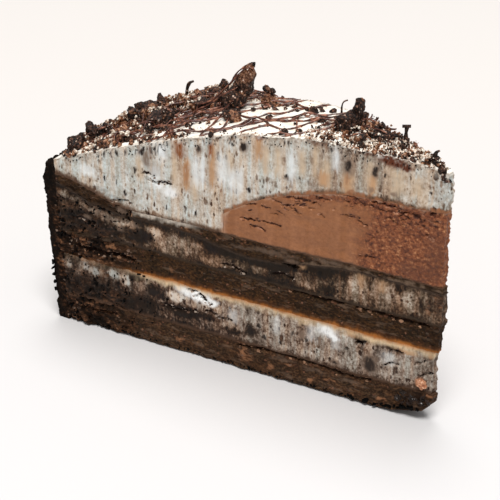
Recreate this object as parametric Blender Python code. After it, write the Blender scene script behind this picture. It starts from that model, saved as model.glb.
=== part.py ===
"""A slice of domed cookies and cream layer cake, one twelfth of a round cake.

Metres, +Z up. The slice stands on its flat base, with the origin in the middle of that base. The
cake's centre, where the slice comes to a point, lies at +X, and the crust wall of the rim at -X.
A place in the slice is given by s, its distance from the cake's centre, by a, its angle from the
slice's middle line, and by its height.
"""

import math
import random

import bmesh
import bpy
from mathutils import Matrix, Vector, noise

MM = 0.001

# The cake and the cut
CAKE_RADIUS = 130 * MM
SLICE_ANGLE = math.radians(30)
TIP_START = 4 * MM
GAP = 0.3 * MM

# The dome of the upper surface: level in the middle, then falling to the rim
CENTRE_HEIGHT = 77 * MM
RIM_HEIGHT = 51.5 * MM
DOME_START = 41 * MM
DOME_POWER = 1.5
TIP_SAG = 1.2 * MM
TIP_SAG_REACH = 14 * MM

# The crust wall round the rim, narrower at its foot like the tin
WALL = 4.5 * MM
WALL_TAPER = 1.8 * MM
CRUST_ROUNDING = 1.2 * MM
CRUST_ROUGHNESS = 0.7 * MM
CRUST_INSET = 0.5 * MM

# Upper faces of the flat layers; the uppermost cake layer turns up at the rim
CAKE_BOTTOM_TOP = 9.2 * MM
MOUSSE_LOWER_TOP = 23.0 * MM
CAKE_MIDDLE_TOP = 31.1 * MM
CAKE_TOP_TOP = 43.0 * MM
RIM_RISE = 6.5 * MM
RIM_RISE_START = 98 * MM
RIM_RISE_END = 128 * MM

# Thickness of the uppermost cake layer: a thin sheet with two thick stretches, each given by its
# extra thickness, its distance from the cake's centre and its reach
SHEET = 1.7 * MM
THICK_STRETCHES = ((3.8 * MM, 60 * MM, 18 * MM), (2.2 * MM, 115 * MM, 12 * MM))

# The chocolate mousse, a low dome in the middle of the cake with a blunt edge
CHOCOLATE_RADIUS = 69 * MM
CHOCOLATE_HEIGHT = 64.6 * MM
CHOCOLATE_DROP = 15.4 * MM
CHOCOLATE_POWER = 3.3

# Waves of the boundaries: their height, the distance between them and a seed
DOME_WAVES = (0.7 * MM, 13 * MM, 3.1)
CHOCOLATE_WAVES = (0.8 * MM, 16 * MM, 5.7)
CAKE_BOTTOM_WAVES = (0.7 * MM, 22 * MM, 11.3)
MOUSSE_LOWER_WAVES = (0.6 * MM, 26 * MM, 17.9)
CAKE_MIDDLE_WAVES = (0.7 * MM, 22 * MM, 23.3)
CAKE_TOP_WAVES = (0.5 * MM, 24 * MM, 29.1)
CRUST_WAVES = (1.1 * MM, 6 * MM, 51.7)

# Relief of the cut faces: crumb stands rougher than mousse
CRUMB_RELIEF = 0.9 * MM
MOUSSE_RELIEF = 0.5 * MM
RELIEF_LENGTH = 5.5 * MM
RELIEF_HEIGHT = 4 * MM
TIP_NICKS = 0.35 * MM
WORN_CORNER = 3.6 * MM

# How finely the blocks are divided
RADIAL_STEPS = 25
ANGLE_STEPS = 4
TOP_ANGLE_STEPS = 7
WALL_ANGLE_STEPS = 14
WALL_HEIGHT_STEPS = 11

# Broken cookie pieces, each a sub-part of its own: distance from the cake's centre in mm, angle in
# degrees, width, depth and height in mm, and the seed of its breaks
CHUNKS = (
    (86, 4.8, 8.0, 7.0, 7.5, 4),
    (103, -4.0, 10.5, 6.5, 5.0, 7),
    (38.5, 3.6, 7.5, 6.0, 5.5, 11),
    (28, 5.0, 6.0, 4.5, 3.6, 12),
    (76.5, -2.6, 4.8, 4.2, 3.6, 15),
    (121.5, -11.8, 5.0, 4.5, 5.4, 21),
    (119, -7.6, 6.0, 5.0, 4.6, 23),
    (119, 2.5, 7.5, 6.0, 7.0, 27),
    (95, 2.6, 5.5, 5.0, 5.4, 32),
    (78.5, 9.6, 6.0, 4.6, 4.2, 33),
    (104, 9.6, 6.5, 5.5, 6.0, 37),
    (114, -1.8, 6.0, 5.0, 5.4, 41),
)
BREAKS = 9

# Pieces that stand up out of a chunk: the chunk's number, the offset from its middle and the size
# in mm, the lean in degrees, and the seed
PRONGS = (
    (1, (2.0, 1.9, 4.6), (5.6, 4.4, 12.5), 26, 5),
    (3, (1.2, 1.1, 3.6), (3.0, 2.8, 7.0), 8, 9),
)
LEAN_AXIS = Vector((-0.684, 0.729, 0))

# Small toppings fused to the cream
TOPPING_SEED = 2024
CRUMB_COUNT = 105
CRUMB_SIZES = (0.9 * MM, 2.7 * MM)
SHAVING_COUNT = 24
SHAVING_SIZES = (2.0 * MM, 3.4 * MM)
SHAVING_THICKNESS = 0.9 * MM
STRAND_RADIUS = 0.55 * MM
STRAND_STEP = 5 * MM

# Chocolate strands: where each crosses the slice's middle line, as X in mm, its heading from +X in
# degrees, and its bow in mm
STRANDS = (
    (3.5, 50, 2.0),
    (9.5, 47, -1.5),
    (26, 52, 1.5),
    (-13, 42, 2.5),
    (-22, 50, -2.0),
    (-34, 44, 2.0),
    (-45, 55, -1.5),
    (-12, 112, 2.0),
    (-29, 118, -2.5),
    (17, 12, 2.0),
)

# Curls of chocolate that stand in the cream: distance in mm, angle in degrees, height and reach of
# the hook at the top in mm
CURLS = (
    (112, 6.4, 8.5, 2.2),
    (20.5, 7.0, 5.6, 1.3),
    (48, 10.6, 4.0, 1.6),
    (9.5, 4.0, 3.4, 1.2),
)
CURL_RADIUS = 0.7 * MM

COLOURS = {
    "crust": ((0.012, 0.009, 0.008), 0.75),
    "cake": ((0.022, 0.013, 0.009), 0.85),
    "cream": ((0.62, 0.58, 0.52), 0.6),
    "chocolate": ((0.28, 0.125, 0.065), 0.55),
    "cookie": ((0.015, 0.011, 0.009), 0.8),
}

HALF = SLICE_ANGLE / 2
CENTRE_X = (CAKE_RADIUS + TIP_START * math.cos(HALF)) / 2
FILLING_RADIUS = CAKE_RADIUS - WALL - GAP


def smooth(low, high, x):
    """0 below low, 1 above high, and a smooth rise between them."""
    t = min(1.0, max(0.0, (x - low) / (high - low)))
    return t * t * (3 - 2 * t)


def spread(low, high, steps):
    """Evenly spaced stops from low to high."""
    return [low + (high - low) * i / steps for i in range(steps + 1)]


def place(s, a, z=0.0):
    """The point at distance s from the cake's centre, at angle a from the middle line."""
    return Vector((CENTRE_X - s * math.cos(a), s * math.sin(a), z))


def polar(point):
    """Distance from the cake's centre, and angle from the middle line, of a point."""
    dx = CENTRE_X - point.x
    return math.hypot(dx, point.y), math.atan2(point.y, dx)


def waves(kind, s, a):
    """Gentle waves over the plan of the cake."""
    height, length, seed = kind
    p = place(s, a) / length
    return height * noise.noise(Vector((p.x, p.y, seed)))


def dome(s, a):
    """Height of the cake's upper surface."""
    t = max(0.0, (s - DOME_START) / (CAKE_RADIUS - DOME_START))
    fall = (CENTRE_HEIGHT - RIM_HEIGHT) * t**DOME_POWER
    sag = TIP_SAG * (1 - smooth(0, TIP_SAG_REACH, s))
    return CENTRE_HEIGHT - fall - sag + waves(DOME_WAVES, s, a)


def chocolate_top(s, a):
    drop = CHOCOLATE_DROP * (s / CHOCOLATE_RADIUS) ** CHOCOLATE_POWER
    return CHOCOLATE_HEIGHT - drop + waves(CHOCOLATE_WAVES, s, a)


def cake_bottom_top(s, a):
    return CAKE_BOTTOM_TOP + waves(CAKE_BOTTOM_WAVES, s, a)


def mousse_lower_top(s, a):
    return MOUSSE_LOWER_TOP + waves(MOUSSE_LOWER_WAVES, s, a)


def cake_middle_top(s, a):
    return CAKE_MIDDLE_TOP + waves(CAKE_MIDDLE_WAVES, s, a)


def cake_top_top(s, a):
    rise = RIM_RISE * smooth(RIM_RISE_START, RIM_RISE_END, s)
    return CAKE_TOP_TOP + rise + waves(CAKE_TOP_WAVES, s, a)


def mousse_middle_top(s, a):
    extra = sum(
        thickness * math.exp(-(((s - middle) / reach) ** 2)) for thickness, middle, reach in THICK_STRETCHES
    )
    return cake_top_top(s, a) - SHEET - extra


def base(s, a):
    return 0.0


def cream_floor(s, a):
    """The cream lies on the chocolate mousse, and past its edge on the uppermost cake layer."""
    if s < CHOCOLATE_RADIUS + 1.5 * GAP:
        return chocolate_top(s, a)
    return cake_top_top(s, a)


def wall_lean(z):
    """How far the crust wall stands in from the cake's full radius at this height."""
    return WALL_TAPER * (1 - z / RIM_HEIGHT)


def divided_block(stops_s, stops_side, stops_height):
    """A closed box whose faces are divided at the stops along each axis."""
    axes = (stops_s, stops_side, stops_height)
    bm = bmesh.new()
    bmesh.ops.create_cube(bm, size=1)
    low = Vector([stops[0] for stops in axes])
    span = Vector([stops[-1] - stops[0] for stops in axes])
    for v in bm.verts:
        v.co = low + Vector([(v.co[i] + 0.5) * span[i] for i in range(3)])
    for axis, stops in enumerate(axes):
        direction = Vector([1.0 if i == axis else 0.0 for i in range(3)])
        for stop in stops[1:-1]:
            bmesh.ops.bisect_plane(
                bm,
                geom=bm.verts[:] + bm.edges[:] + bm.faces[:],
                dist=1e-7,
                plane_co=direction * stop,
                plane_no=direction,
            )
    return bm


def layer_stops(outer):
    """Radial stops that all layers share, with two close ones at the edge of the chocolate mousse."""
    edge = [CHOCOLATE_RADIUS, CHOCOLATE_RADIUS + 2 * GAP]
    free = [s for s in spread(TIP_START, FILLING_RADIUS, RADIAL_STEPS) if min(abs(s - e) for e in edge) > 5 * GAP]
    return sorted(s for s in free + edge if s < outer + GAP)


def cut_face_relief(s, z, side, depth):
    """How far a cut face stands proud here; it fades out towards the point of the slice."""
    p = Vector((s / RELIEF_LENGTH, z / RELIEF_HEIGHT, 40 + 7 * side))
    rough = 0.65 * noise.noise(p) + 0.35 * noise.noise(p * 2.3)
    return depth * rough * smooth(2 * MM, 14 * MM, s)


def bend_into_slice(bm, floor, ceiling, depth, tip_out=0.0, lift=0.0):
    """Bends a divided block into the slice, between a floor and a ceiling.

    Its first axis becomes the distance from the cake's centre, its second the angle in half slices,
    and its third the share of the layer's height. The point of the slice is blunt and nicked.
    """
    for v in bm.verts:
        s, side, share = v.co
        a = side * HALF
        low = 0.0 if floor is base else floor(s, a) + GAP / 2
        z = low + (ceiling(s, a) + lift - GAP / 2 - low) * share
        at_tip = s < TIP_START + GAP
        if at_tip and floor is base:
            s += WORN_CORNER * (1 - share) ** 2
        s -= wall_lean(z) * smooth(0.9 * FILLING_RADIUS, FILLING_RADIUS, s)
        p = place(s, a, z)
        if abs(side) > 0.999:
            outward = Vector((math.sin(HALF), math.copysign(math.cos(HALF), side), 0))
            p += outward * cut_face_relief(s, z, side, depth)
        if at_tip:
            p.x += tip_out + TIP_NICKS * noise.noise(Vector((3.3, side, z / RELIEF_HEIGHT)))
        v.co = p


def material(slot):
    """The slot's material, made when it is first asked for."""
    made = bpy.data.materials.get(slot)
    if made is None:
        colour, roughness = COLOURS[slot]
        made = bpy.data.materials.new(slot)
        made.use_nodes = True
        shader = made.node_tree.nodes["Principled BSDF"]
        shader.inputs["Base Color"].default_value = (*colour, 1)
        shader.inputs["Roughness"].default_value = roughness
        shader.inputs["Metallic"].default_value = 0.0
    return made


def make_object(bm, name, slot, collection, crease=40):
    """Turns a bmesh into a named object, shaded smooth where it turns by less than the crease angle."""
    bmesh.ops.triangulate(bm, faces=bm.faces)
    bmesh.ops.recalc_face_normals(bm, faces=bm.faces)
    mesh = bpy.data.meshes.new(name)
    bm.to_mesh(mesh)
    bm.free()
    mesh.materials.append(material(slot))
    mesh.shade_smooth()
    mesh.set_sharp_from_angle(angle=math.radians(crease))
    obj = bpy.data.objects.new(name, mesh)
    collection.objects.link(obj)
    return obj


def layer(name, slot, collection, floor, ceiling, depth, tip_out, height_steps, outer=FILLING_RADIUS):
    bm = divided_block(layer_stops(outer), spread(-1, 1, ANGLE_STEPS), spread(0, 1, height_steps))
    bend_into_slice(bm, floor, ceiling, depth, tip_out)
    return make_object(bm, name, slot, collection)


def cream_block(name, collection, lift=0.0, overhang=()):
    """The thick top layer of cream without its toppings.

    As a cutter it is raised by lift, and goes on past the cut faces to the overhangs, which are
    given in half slices.
    """
    sides = sorted(spread(-1, 1, TOP_ANGLE_STEPS) + list(overhang) + [-side for side in overhang])
    bm = divided_block(layer_stops(FILLING_RADIUS), sides, spread(0, 1, 4))
    for v in bm.verts:
        if abs(v.co.x - CHOCOLATE_RADIUS) < GAP / 2:
            v.co.x += GAP
    bend_into_slice(bm, cream_floor, dome, MOUSSE_RELIEF, 0.4 * MM, lift)
    return make_object(bm, name, "cream", collection)


def crust_wall(collection):
    """The chocolate crust round the rim, rough outside, with a crumbled and rounded upper edge."""
    inner = CAKE_RADIUS - WALL
    bm = divided_block([inner, CAKE_RADIUS], spread(-1, 1, WALL_ANGLE_STEPS), spread(0, 1, WALL_HEIGHT_STEPS))
    for v in bm.verts:
        s, side, share = v.co
        outside = s > inner + GAP
        a = side * HALF
        z = share * (RIM_HEIGHT + share * waves(CRUST_WAVES, s, a))
        if outside:
            grain = noise.noise(Vector((a * CAKE_RADIUS, z, 0)) / RELIEF_HEIGHT)
            s += CRUST_ROUGHNESS * grain - CRUST_INSET - CRUST_ROUNDING * smooth(0.9, 1.0, share)
        p = place(s - wall_lean(z), a, z)
        if abs(side) > 0.999:
            outward = Vector((math.sin(HALF), math.copysign(math.cos(HALF), side), 0))
            p += outward * cut_face_relief(s, z, side, MOUSSE_RELIEF)
        v.co = p
    return make_object(bm, "crust_wall", "crust", collection)


def surface(point):
    """The point of the cream's upper surface above or below this one, and the way out of it."""
    step = 0.5 * MM
    heights = [dome(*polar(point + Vector(shift))) - GAP / 2 for shift in ((0, 0, 0), (step, 0, 0), (0, step, 0))]
    normal = Vector((heights[0] - heights[1], heights[0] - heights[2], step)).normalized()
    return Vector((point.x, point.y, heights[0])), normal


def standing_on(foot, normal, spin):
    """The placement of a piece at foot whose +Z points along normal, after a spin about it."""
    turn = normal.to_track_quat("Z", "Y").to_matrix().to_4x4()
    return Matrix.Translation(foot) @ turn @ Matrix.Rotation(spin, 4, "Z")


def broken_piece(size, seed):
    """A lump with flat broken faces: a box with corners and edges sliced off."""
    rng = random.Random(seed)
    bm = bmesh.new()
    bmesh.ops.create_cube(bm, size=1)
    for _ in range(BREAKS):
        normal = Vector((rng.uniform(-1, 1), rng.uniform(-1, 1), rng.uniform(-0.7, 1))).normalized()
        bmesh.ops.bisect_plane(
            bm,
            geom=bm.verts[:] + bm.edges[:] + bm.faces[:],
            dist=1e-6,
            plane_co=normal * rng.uniform(0.42, 0.55),
            plane_no=normal,
            clear_outer=True,
        )
        bmesh.ops.holes_fill(bm, edges=[e for e in bm.edges if e.is_boundary])
    bmesh.ops.remove_doubles(bm, verts=bm.verts, dist=0.02)
    bmesh.ops.scale(bm, verts=bm.verts, vec=Vector(size) * MM)
    return bm


def apply_boolean(obj, operation, other=None, collection=None):
    """Cuts or joins the object for good, with one other object or with all of a collection."""
    bpy.context.view_layer.update()
    modifier = obj.modifiers.new("boolean", "BOOLEAN")
    modifier.operation = operation
    if collection:
        modifier.operand_type = "COLLECTION"
        modifier.collection = collection
    else:
        modifier.object = other
    evaluated = obj.evaluated_get(bpy.context.evaluated_depsgraph_get())
    mesh = bpy.data.meshes.new_from_object(evaluated)
    obj.modifiers.remove(modifier)
    obj.data = mesh


def cookie_chunks(collection, raised_cream):
    """The large cookie pieces, each cut underneath to the cream that it lies on."""
    for number, (s, a, width, depth, height, seed) in enumerate(CHUNKS, 1):
        foot, normal = surface(place(s * MM, math.radians(a)))
        middle = foot + normal * 0.3 * height * MM
        bm = broken_piece((width, depth, height), seed)
        chunk = make_object(bm, f"cookie_chunk_{number}", "cookie", collection, 20)
        chunk.matrix_world = standing_on(middle, normal, seed)
        for owner, offset, size, lean, prong_seed in PRONGS:
            if owner == number:
                prong = make_object(broken_piece(size, prong_seed), "prong", "cookie", collection, 20)
                upright = Matrix.Rotation(math.radians(lean), 4, LEAN_AXIS)
                prong.matrix_world = Matrix.Translation(middle + Vector(offset) * MM) @ upright
                apply_boolean(chunk, "UNION", other=prong)
                bpy.data.objects.remove(prong)
        apply_boolean(chunk, "DIFFERENCE", other=raised_cream)


def topping_share(s):
    """How thickly crumbs lie: most near the rim and the point, few in between."""
    near_rim = smooth(72 * MM, 98 * MM, s)
    near_tip = 0.75 * (1 - smooth(34 * MM, 48 * MM, s))
    return 0.16 + 0.84 * max(near_rim, near_tip)


def clear_of_chunks(point, reach):
    """Whether a topping of this reach stays clear of every cookie piece."""
    for s, a, width, depth, height, _ in CHUNKS:
        away = point - place(s * MM, math.radians(a))
        if math.hypot(away.x, away.y) < (0.6 * max(width, depth) + 0.2 * height) * MM + 1.15 * reach:
            return False
    return True


def inside_slice(point, margin):
    """Whether a point lies over the cream, at least the margin away from its edges in plan."""
    s, a = polar(point)
    return 2 * TIP_START < s < FILLING_RADIUS - margin and s * math.sin(HALF - abs(a)) > margin


def scatter(rng, count, sizes):
    """Places and sizes of toppings over the cream, the largest first."""
    low, high = sizes
    drawn = sorted((low + (high - low) * rng.random() ** 2 for _ in range(count)), reverse=True)
    spots = []
    for size in drawn:
        for _ in range(200):
            s = CAKE_RADIUS * math.sqrt(rng.random())
            p = place(s, rng.uniform(-HALF, HALF))
            free = all((p - q).length > 0.8 * (size + other) for q, other in spots)
            clear = inside_slice(p, size + GAP) and clear_of_chunks(p, size)
            if free and clear and rng.random() < topping_share(s):
                spots.append((p, size))
                break
    return spots


def crumbs(collection):
    rng = random.Random(TOPPING_SEED)
    for p, size in scatter(rng, CRUMB_COUNT, CRUMB_SIZES):
        foot, normal = surface(p)
        bm = bmesh.new()
        bmesh.ops.create_icosphere(bm, subdivisions=1, radius=size)
        for v in bm.verts:
            v.co *= rng.uniform(0.75, 1.15)
        squash = Matrix.Diagonal((1.0, rng.uniform(0.7, 1.0), rng.uniform(0.6, 0.95), 1.0))
        crumb = make_object(bm, "crumb", "cookie", collection, 20)
        crumb.matrix_world = standing_on(foot + normal * 0.25 * size, normal, rng.uniform(0, math.tau)) @ squash


def shavings(collection):
    """Flat slivers of chocolate, standing at a slant with their lower end in the cream."""
    rng = random.Random(TOPPING_SEED + 1)
    for p, size in scatter(rng, SHAVING_COUNT, SHAVING_SIZES):
        foot, normal = surface(p)
        bm = bmesh.new()
        bmesh.ops.create_cube(bm, size=1)
        bmesh.ops.scale(bm, verts=bm.verts, vec=(1.7 * size, 0.5 * size, SHAVING_THICKNESS))
        lean = Matrix.Rotation(rng.uniform(-0.9, 0.9), 4, "Y")
        sliver = make_object(bm, "shaving", "cookie", collection, 20)
        sliver.matrix_world = standing_on(foot + normal * 0.3 * size, normal, rng.uniform(0, math.tau)) @ lean


def tube(route, radius, collection):
    """A square tube along a route, with closed ends."""
    curve = bpy.data.curves.new("tube", "CURVE")
    curve.dimensions = "3D"
    curve.bevel_depth = radius
    curve.bevel_resolution = 0
    curve.use_fill_caps = True
    spline = curve.splines.new("POLY")
    spline.points.add(len(route) - 1)
    for point, co in zip(spline.points, route):
        point.co = (*co, 1)
    guide = bpy.data.objects.new("tube_guide", curve)
    collection.objects.link(guide)
    bpy.context.view_layer.update()
    mesh = bpy.data.meshes.new_from_object(guide.evaluated_get(bpy.context.evaluated_depsgraph_get()))
    bpy.data.objects.remove(guide)
    bm = bmesh.new()
    bm.from_mesh(mesh)
    bmesh.ops.remove_doubles(bm, verts=bm.verts, dist=0.01 * MM)
    make_object(bm, "tube", "cookie", collection)


def strand_runs(crossing, heading, bow):
    """The stretches of one strand that lie on free cream."""
    along = Vector((math.cos(math.radians(heading)), math.sin(math.radians(heading)), 0))
    across = Vector((-along.y, along.x, 0))
    reach = 70 * MM
    runs = [[]]
    for d in spread(-reach, reach, round(2 * reach / STRAND_STEP)):
        sway = bow * MM * (math.sin(d / (9 * MM)) + (d / (25 * MM)) ** 2)
        p = Vector((crossing * MM, 0, 0)) + along * d + across * sway
        if inside_slice(p, 0.9 * MM) and clear_of_chunks(p, 1.0 * MM):
            foot, normal = surface(p)
            runs[-1].append(foot + normal * 0.3 * STRAND_RADIUS)
        else:
            runs.append([])
    return [run for run in runs if len(run) > 2]


def strands(collection):
    """Thick drizzled chocolate that follows the cream."""
    for crossing, heading, bow in STRANDS:
        for run in strand_runs(crossing, heading, bow):
            tube(run, STRAND_RADIUS, collection)


def curls(collection):
    """Upright pieces of chocolate with a hooked top."""
    for s, a, height, hook in CURLS:
        foot, normal = surface(place(s * MM, math.radians(a)))
        side = LEAN_AXIS.cross(Vector((0, 0, 1))) * hook * MM
        rise = Vector((0, 0, height * MM))
        route = [foot - normal * 1.5 * MM, foot + rise * 0.55, foot + rise * 0.9 + side * 0.35, foot + rise + side]
        tube(route, CURL_RADIUS, collection)


def keep_main_body(obj):
    """Drops specks and sealed hollows that fusing leaves, and splits the faces into triangles."""
    bm = bmesh.new()
    bm.from_mesh(obj.data)
    unseen = set(bm.verts)
    bodies = []
    while unseen:
        body, border = set(), [unseen.pop()]
        while border:
            v = border.pop()
            body.add(v)
            linked = {e.other_vert(v) for e in v.link_edges} & unseen
            unseen -= linked
            border.extend(linked)
        bodies.append(body)
    main = max(bodies, key=len)
    bmesh.ops.delete(bm, geom=[v for v in bm.verts if v not in main], context="VERTS")
    bmesh.ops.triangulate(bm, faces=bm.faces)
    bm.to_mesh(obj.data)
    bm.free()


def topped_cream(collection):
    """The top layer of cream with crumbs, shavings, strands and curls fused to it."""
    loose = new_collection("loose_toppings")
    crumbs(loose)
    shavings(loose)
    strands(loose)
    curls(loose)
    cream = cream_block("mousse_top", collection)
    apply_boolean(cream, "UNION", collection=loose)
    for obj in list(loose.objects):
        bpy.data.objects.remove(obj)
    bpy.data.collections.remove(loose)
    keep_main_body(cream)


def new_collection(name):
    made = bpy.data.collections.new(name)
    bpy.context.scene.collection.children.link(made)
    return made


def clear_scene():
    for obj in list(bpy.data.objects):
        bpy.data.objects.remove(obj)


def main():
    clear_scene()
    cake = new_collection("cookies_and_cream_slice")
    cutters = new_collection("cutters")

    crust_wall(cake)
    layer("cake_bottom", "cake", cake, base, cake_bottom_top, CRUMB_RELIEF, 0.0, 3)
    layer("mousse_lower", "cream", cake, cake_bottom_top, mousse_lower_top, MOUSSE_RELIEF, -0.7 * MM, 3)
    layer("cake_middle", "cake", cake, mousse_lower_top, cake_middle_top, CRUMB_RELIEF, 0.5 * MM, 3)
    layer("mousse_middle", "cream", cake, cake_middle_top, mousse_middle_top, MOUSSE_RELIEF, 0.5 * MM, 2)
    layer("cake_top", "cake", cake, mousse_middle_top, cake_top_top, CRUMB_RELIEF, 0.0, 1)
    layer("mousse_chocolate", "chocolate", cake, cake_top_top, chocolate_top, MOUSSE_RELIEF, 0.5 * MM, 4,
          outer=CHOCOLATE_RADIUS)
    topped_cream(cake)

    raised = cream_block("raised_cream", cutters, lift=GAP, overhang=(1.3, 1.6))
    raised.hide_render = True
    raised.display_type = "WIRE"
    cookie_chunks(cake, raised)


main()
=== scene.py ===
"""Looks of a slice of cookies and cream cake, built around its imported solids.

Sizes in this script are in millimetres; add_mesh turns them into metres. A place in the slice is
given by s, its distance from the cake's centre, by a, its angle from the slice's middle line, and
by its height z. The cut face with a negative angle is the near one, which the camera sees.
"""

import copy
import itertools
import math
import random

import bmesh
import bpy
import numpy as np
from mathutils import Matrix, Vector, noise
from mathutils.bvhtree import BVHTree


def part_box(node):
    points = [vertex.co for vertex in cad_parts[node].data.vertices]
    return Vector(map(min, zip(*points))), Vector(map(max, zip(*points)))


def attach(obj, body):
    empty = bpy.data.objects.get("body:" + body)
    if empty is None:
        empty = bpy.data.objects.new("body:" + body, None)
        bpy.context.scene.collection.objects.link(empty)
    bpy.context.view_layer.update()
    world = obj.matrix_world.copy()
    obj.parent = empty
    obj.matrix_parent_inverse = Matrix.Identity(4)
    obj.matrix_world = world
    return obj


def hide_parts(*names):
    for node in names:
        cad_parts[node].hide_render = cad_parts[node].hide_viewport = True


MM = 0.001

# The cake and the cut, as in the solids
CAKE_RADIUS = 130
HALF = math.radians(15)
TIP_START = 4
CENTRE_X = (CAKE_RADIUS + TIP_START * math.cos(HALF)) / 2
CENTRE_HEIGHT = 77
RIM_HEIGHT = 51.5
DOME_START = 41
DOME_POWER = 1.5
TIP_SAG = 1.2
TIP_SAG_REACH = 14
WALL = 4.5
WALL_TAPER = 1.8
GAP = 0.3
INNER_WALL = CAKE_RADIUS - WALL
FILLING_RADIUS = INNER_WALL - GAP
CRUST_INSET = 0.5
CRUST_ROUNDING = 1.2
CAKE_BOTTOM_TOP = 9.2
MOUSSE_LOWER_TOP = 23.0
CAKE_MIDDLE_TOP = 31.1
CAKE_TOP_TOP = 43.0
RIM_RISE = 6.5
RIM_RISE_START = 98
RIM_RISE_END = 128
SHEET = 1.7
THICK_STRETCHES = ((3.8, 60, 18), (2.2, 115, 12))
CHOCOLATE_RADIUS = 69
CHOCOLATE_HEIGHT = 64.6
CHOCOLATE_DROP = 15.4
CHOCOLATE_POWER = 3.3
WORN_CORNER = 3.6
# How far the foot is worn off everywhere, and how much more at the point
FOOT_LIFT = (0.5, 2.6)
# How far the outside of the crust leans in at the foot and out at the top
EXTRA_TAPER = 0.6
TIP_NICKS = 0.35
RELIEF_LENGTH = 5.5
RELIEF_HEIGHT = 4

# Waves of the boundaries: their height, the distance between them and a seed
DOME_WAVES = (0.7, 13, 3.1)
CHOCOLATE_WAVES = (0.8, 16, 5.7)
CAKE_BOTTOM_WAVES = (0.7, 22, 11.3)
MOUSSE_LOWER_WAVES = (0.6, 26, 17.9)
CAKE_MIDDLE_WAVES = (0.7, 22, 23.3)
CAKE_TOP_WAVES = (0.5, 24, 29.1)
CRUST_WAVES = (1.1, 6, 51.7)

# Toppings that the solids have too. First the large cookie pieces: s, angle in degrees, width, depth
# and height
CHUNKS = (
    (86, 4.8, 8, 7, 7.5),
    (103, -4, 10.5, 6.5, 5),
    (38.5, 3.6, 7.5, 6, 5.5),
    (28, 5, 6, 4.5, 3.6),
    (76.5, -2.6, 4.8, 4.2, 3.6),
    (121.5, -11.8, 5, 4.5, 5.4),
    (119, -7.6, 6, 5, 4.6),
    (119, 2.5, 7.5, 6, 7),
    (95, 2.6, 5.5, 5, 5.4),
    (78.5, 9.6, 6, 4.6, 4.2),
    (104, 9.6, 6.5, 5.5, 6),
    (114, -1.8, 6, 5, 5.4),
)
# The pieces that loose crumbs keep off, and the heights above which two of the pieces are brown
SHOWN_WHOLE = (1, 2, 5)
BROWN_ABOVE = {1: 77, 10: 66}
# Long strands: where they cross the middle line, their heading in degrees and their bow
STRANDS = (
    (3.5, 50, 2),
    (9.5, 47, -1.5),
    (26, 52, 1.5),
    (-13, 42, 2.5),
    (-22, 50, -2),
    (-34, 44, 2),
    (-45, 55, -1.5),
    (-12, 112, 2),
    (-29, 118, -2.5),
    (17, 12, 2),
)
# Upright curls: s, angle in degrees, height and reach of the hook, then the radii of foot and top.
# One curl has a bar across its top.
CURLS = (
    (112, 6.4, 8.5, 2.2),
    (20.5, 7.0, 5.6, 1.3),
    (48, 10.6, 4.0, 1.6),
    (9.5, 4.0, 3.4, 1.2),
)
BARRED_CURL = (20.5, 7.0)
CURL_RADII = ((0.62, 0.42), (0.75, 0.5), (0.32, 0.22), (1.15, 0.25))
# The crumbs and shavings fused to the solid cream: a seed, their number, and the least and largest size
FUSED_CRUMBS = (2024, 105, 0.9, 2.7)
FUSED_SHAVINGS = (2025, 24, 2.0, 3.4)

# Single crumbs, as s, angle in degrees, height and radius. The dark ones stand out against the
# background, lie before the large pieces, or lie at the point.
DARK_CRUMBS = (
    (119.5, -10, 60.6, 2.1), (117, -8, 60.4, 1.7), (122.6, -14, 55.2, 1.2), (120.6, -13.6, 56, 1),
    (113.2, 1.7, 64, 2.2), (101, 9.6, 68.2, 2), (29.5, 7.2, 80.2, 1), (25, 9.4, 78.4, 0.9),
    (79.6, 9.2, 74, 1.1), (78.2, 9.9, 73.6, 1.2), (83.4, 3.6, 72, 2.8), (84.6, 6, 71.4, 2.3),
    (99.4, -9, 65.6, 2.3), (98.8, -7, 66, 2.9), (95.9, -6.5, 67, 2.6), (8.2, 1, 77.8, 1.2),
    (7.2, -3, 76.9, 1.5), (6, -8, 76, 1.4), (4.9, -11, 74.8, 1.2), (4.2, -8, 73.4, 0.9),
)
BROWN_CRUMBS = (
    (115, -3.6, 63.2, 1.6),
    (85, 8.4, 79.8, 1.5),
)
# Brown crumbs along the near edge of the cream, as s and radius, and how far in from it they lie
EDGE_CRUMBS = ((122, 0.9), (118.5, 1.2), (115, 0.9), (111, 1.2), (107.5, 1.0), (103, 0.9), (99, 1.1),
               (24.5, 0.9), (21.8, 1.2), (19.2, 1.1), (16.5, 1.2), (14, 1.0), (11.5, 0.8))
EDGE_INSET = 0.9
# Crumbs with a larger radius than this are made of finer balls: on the cream, and on the sides
LARGE_RUBBLE = 1.5
LARGE_SIDE_CRUMB = 0.42
LOOSE_STRANDS = 88
# The level direction that leads away from the camera
AWAY = Vector((-0.684, 0.729, 0))

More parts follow.
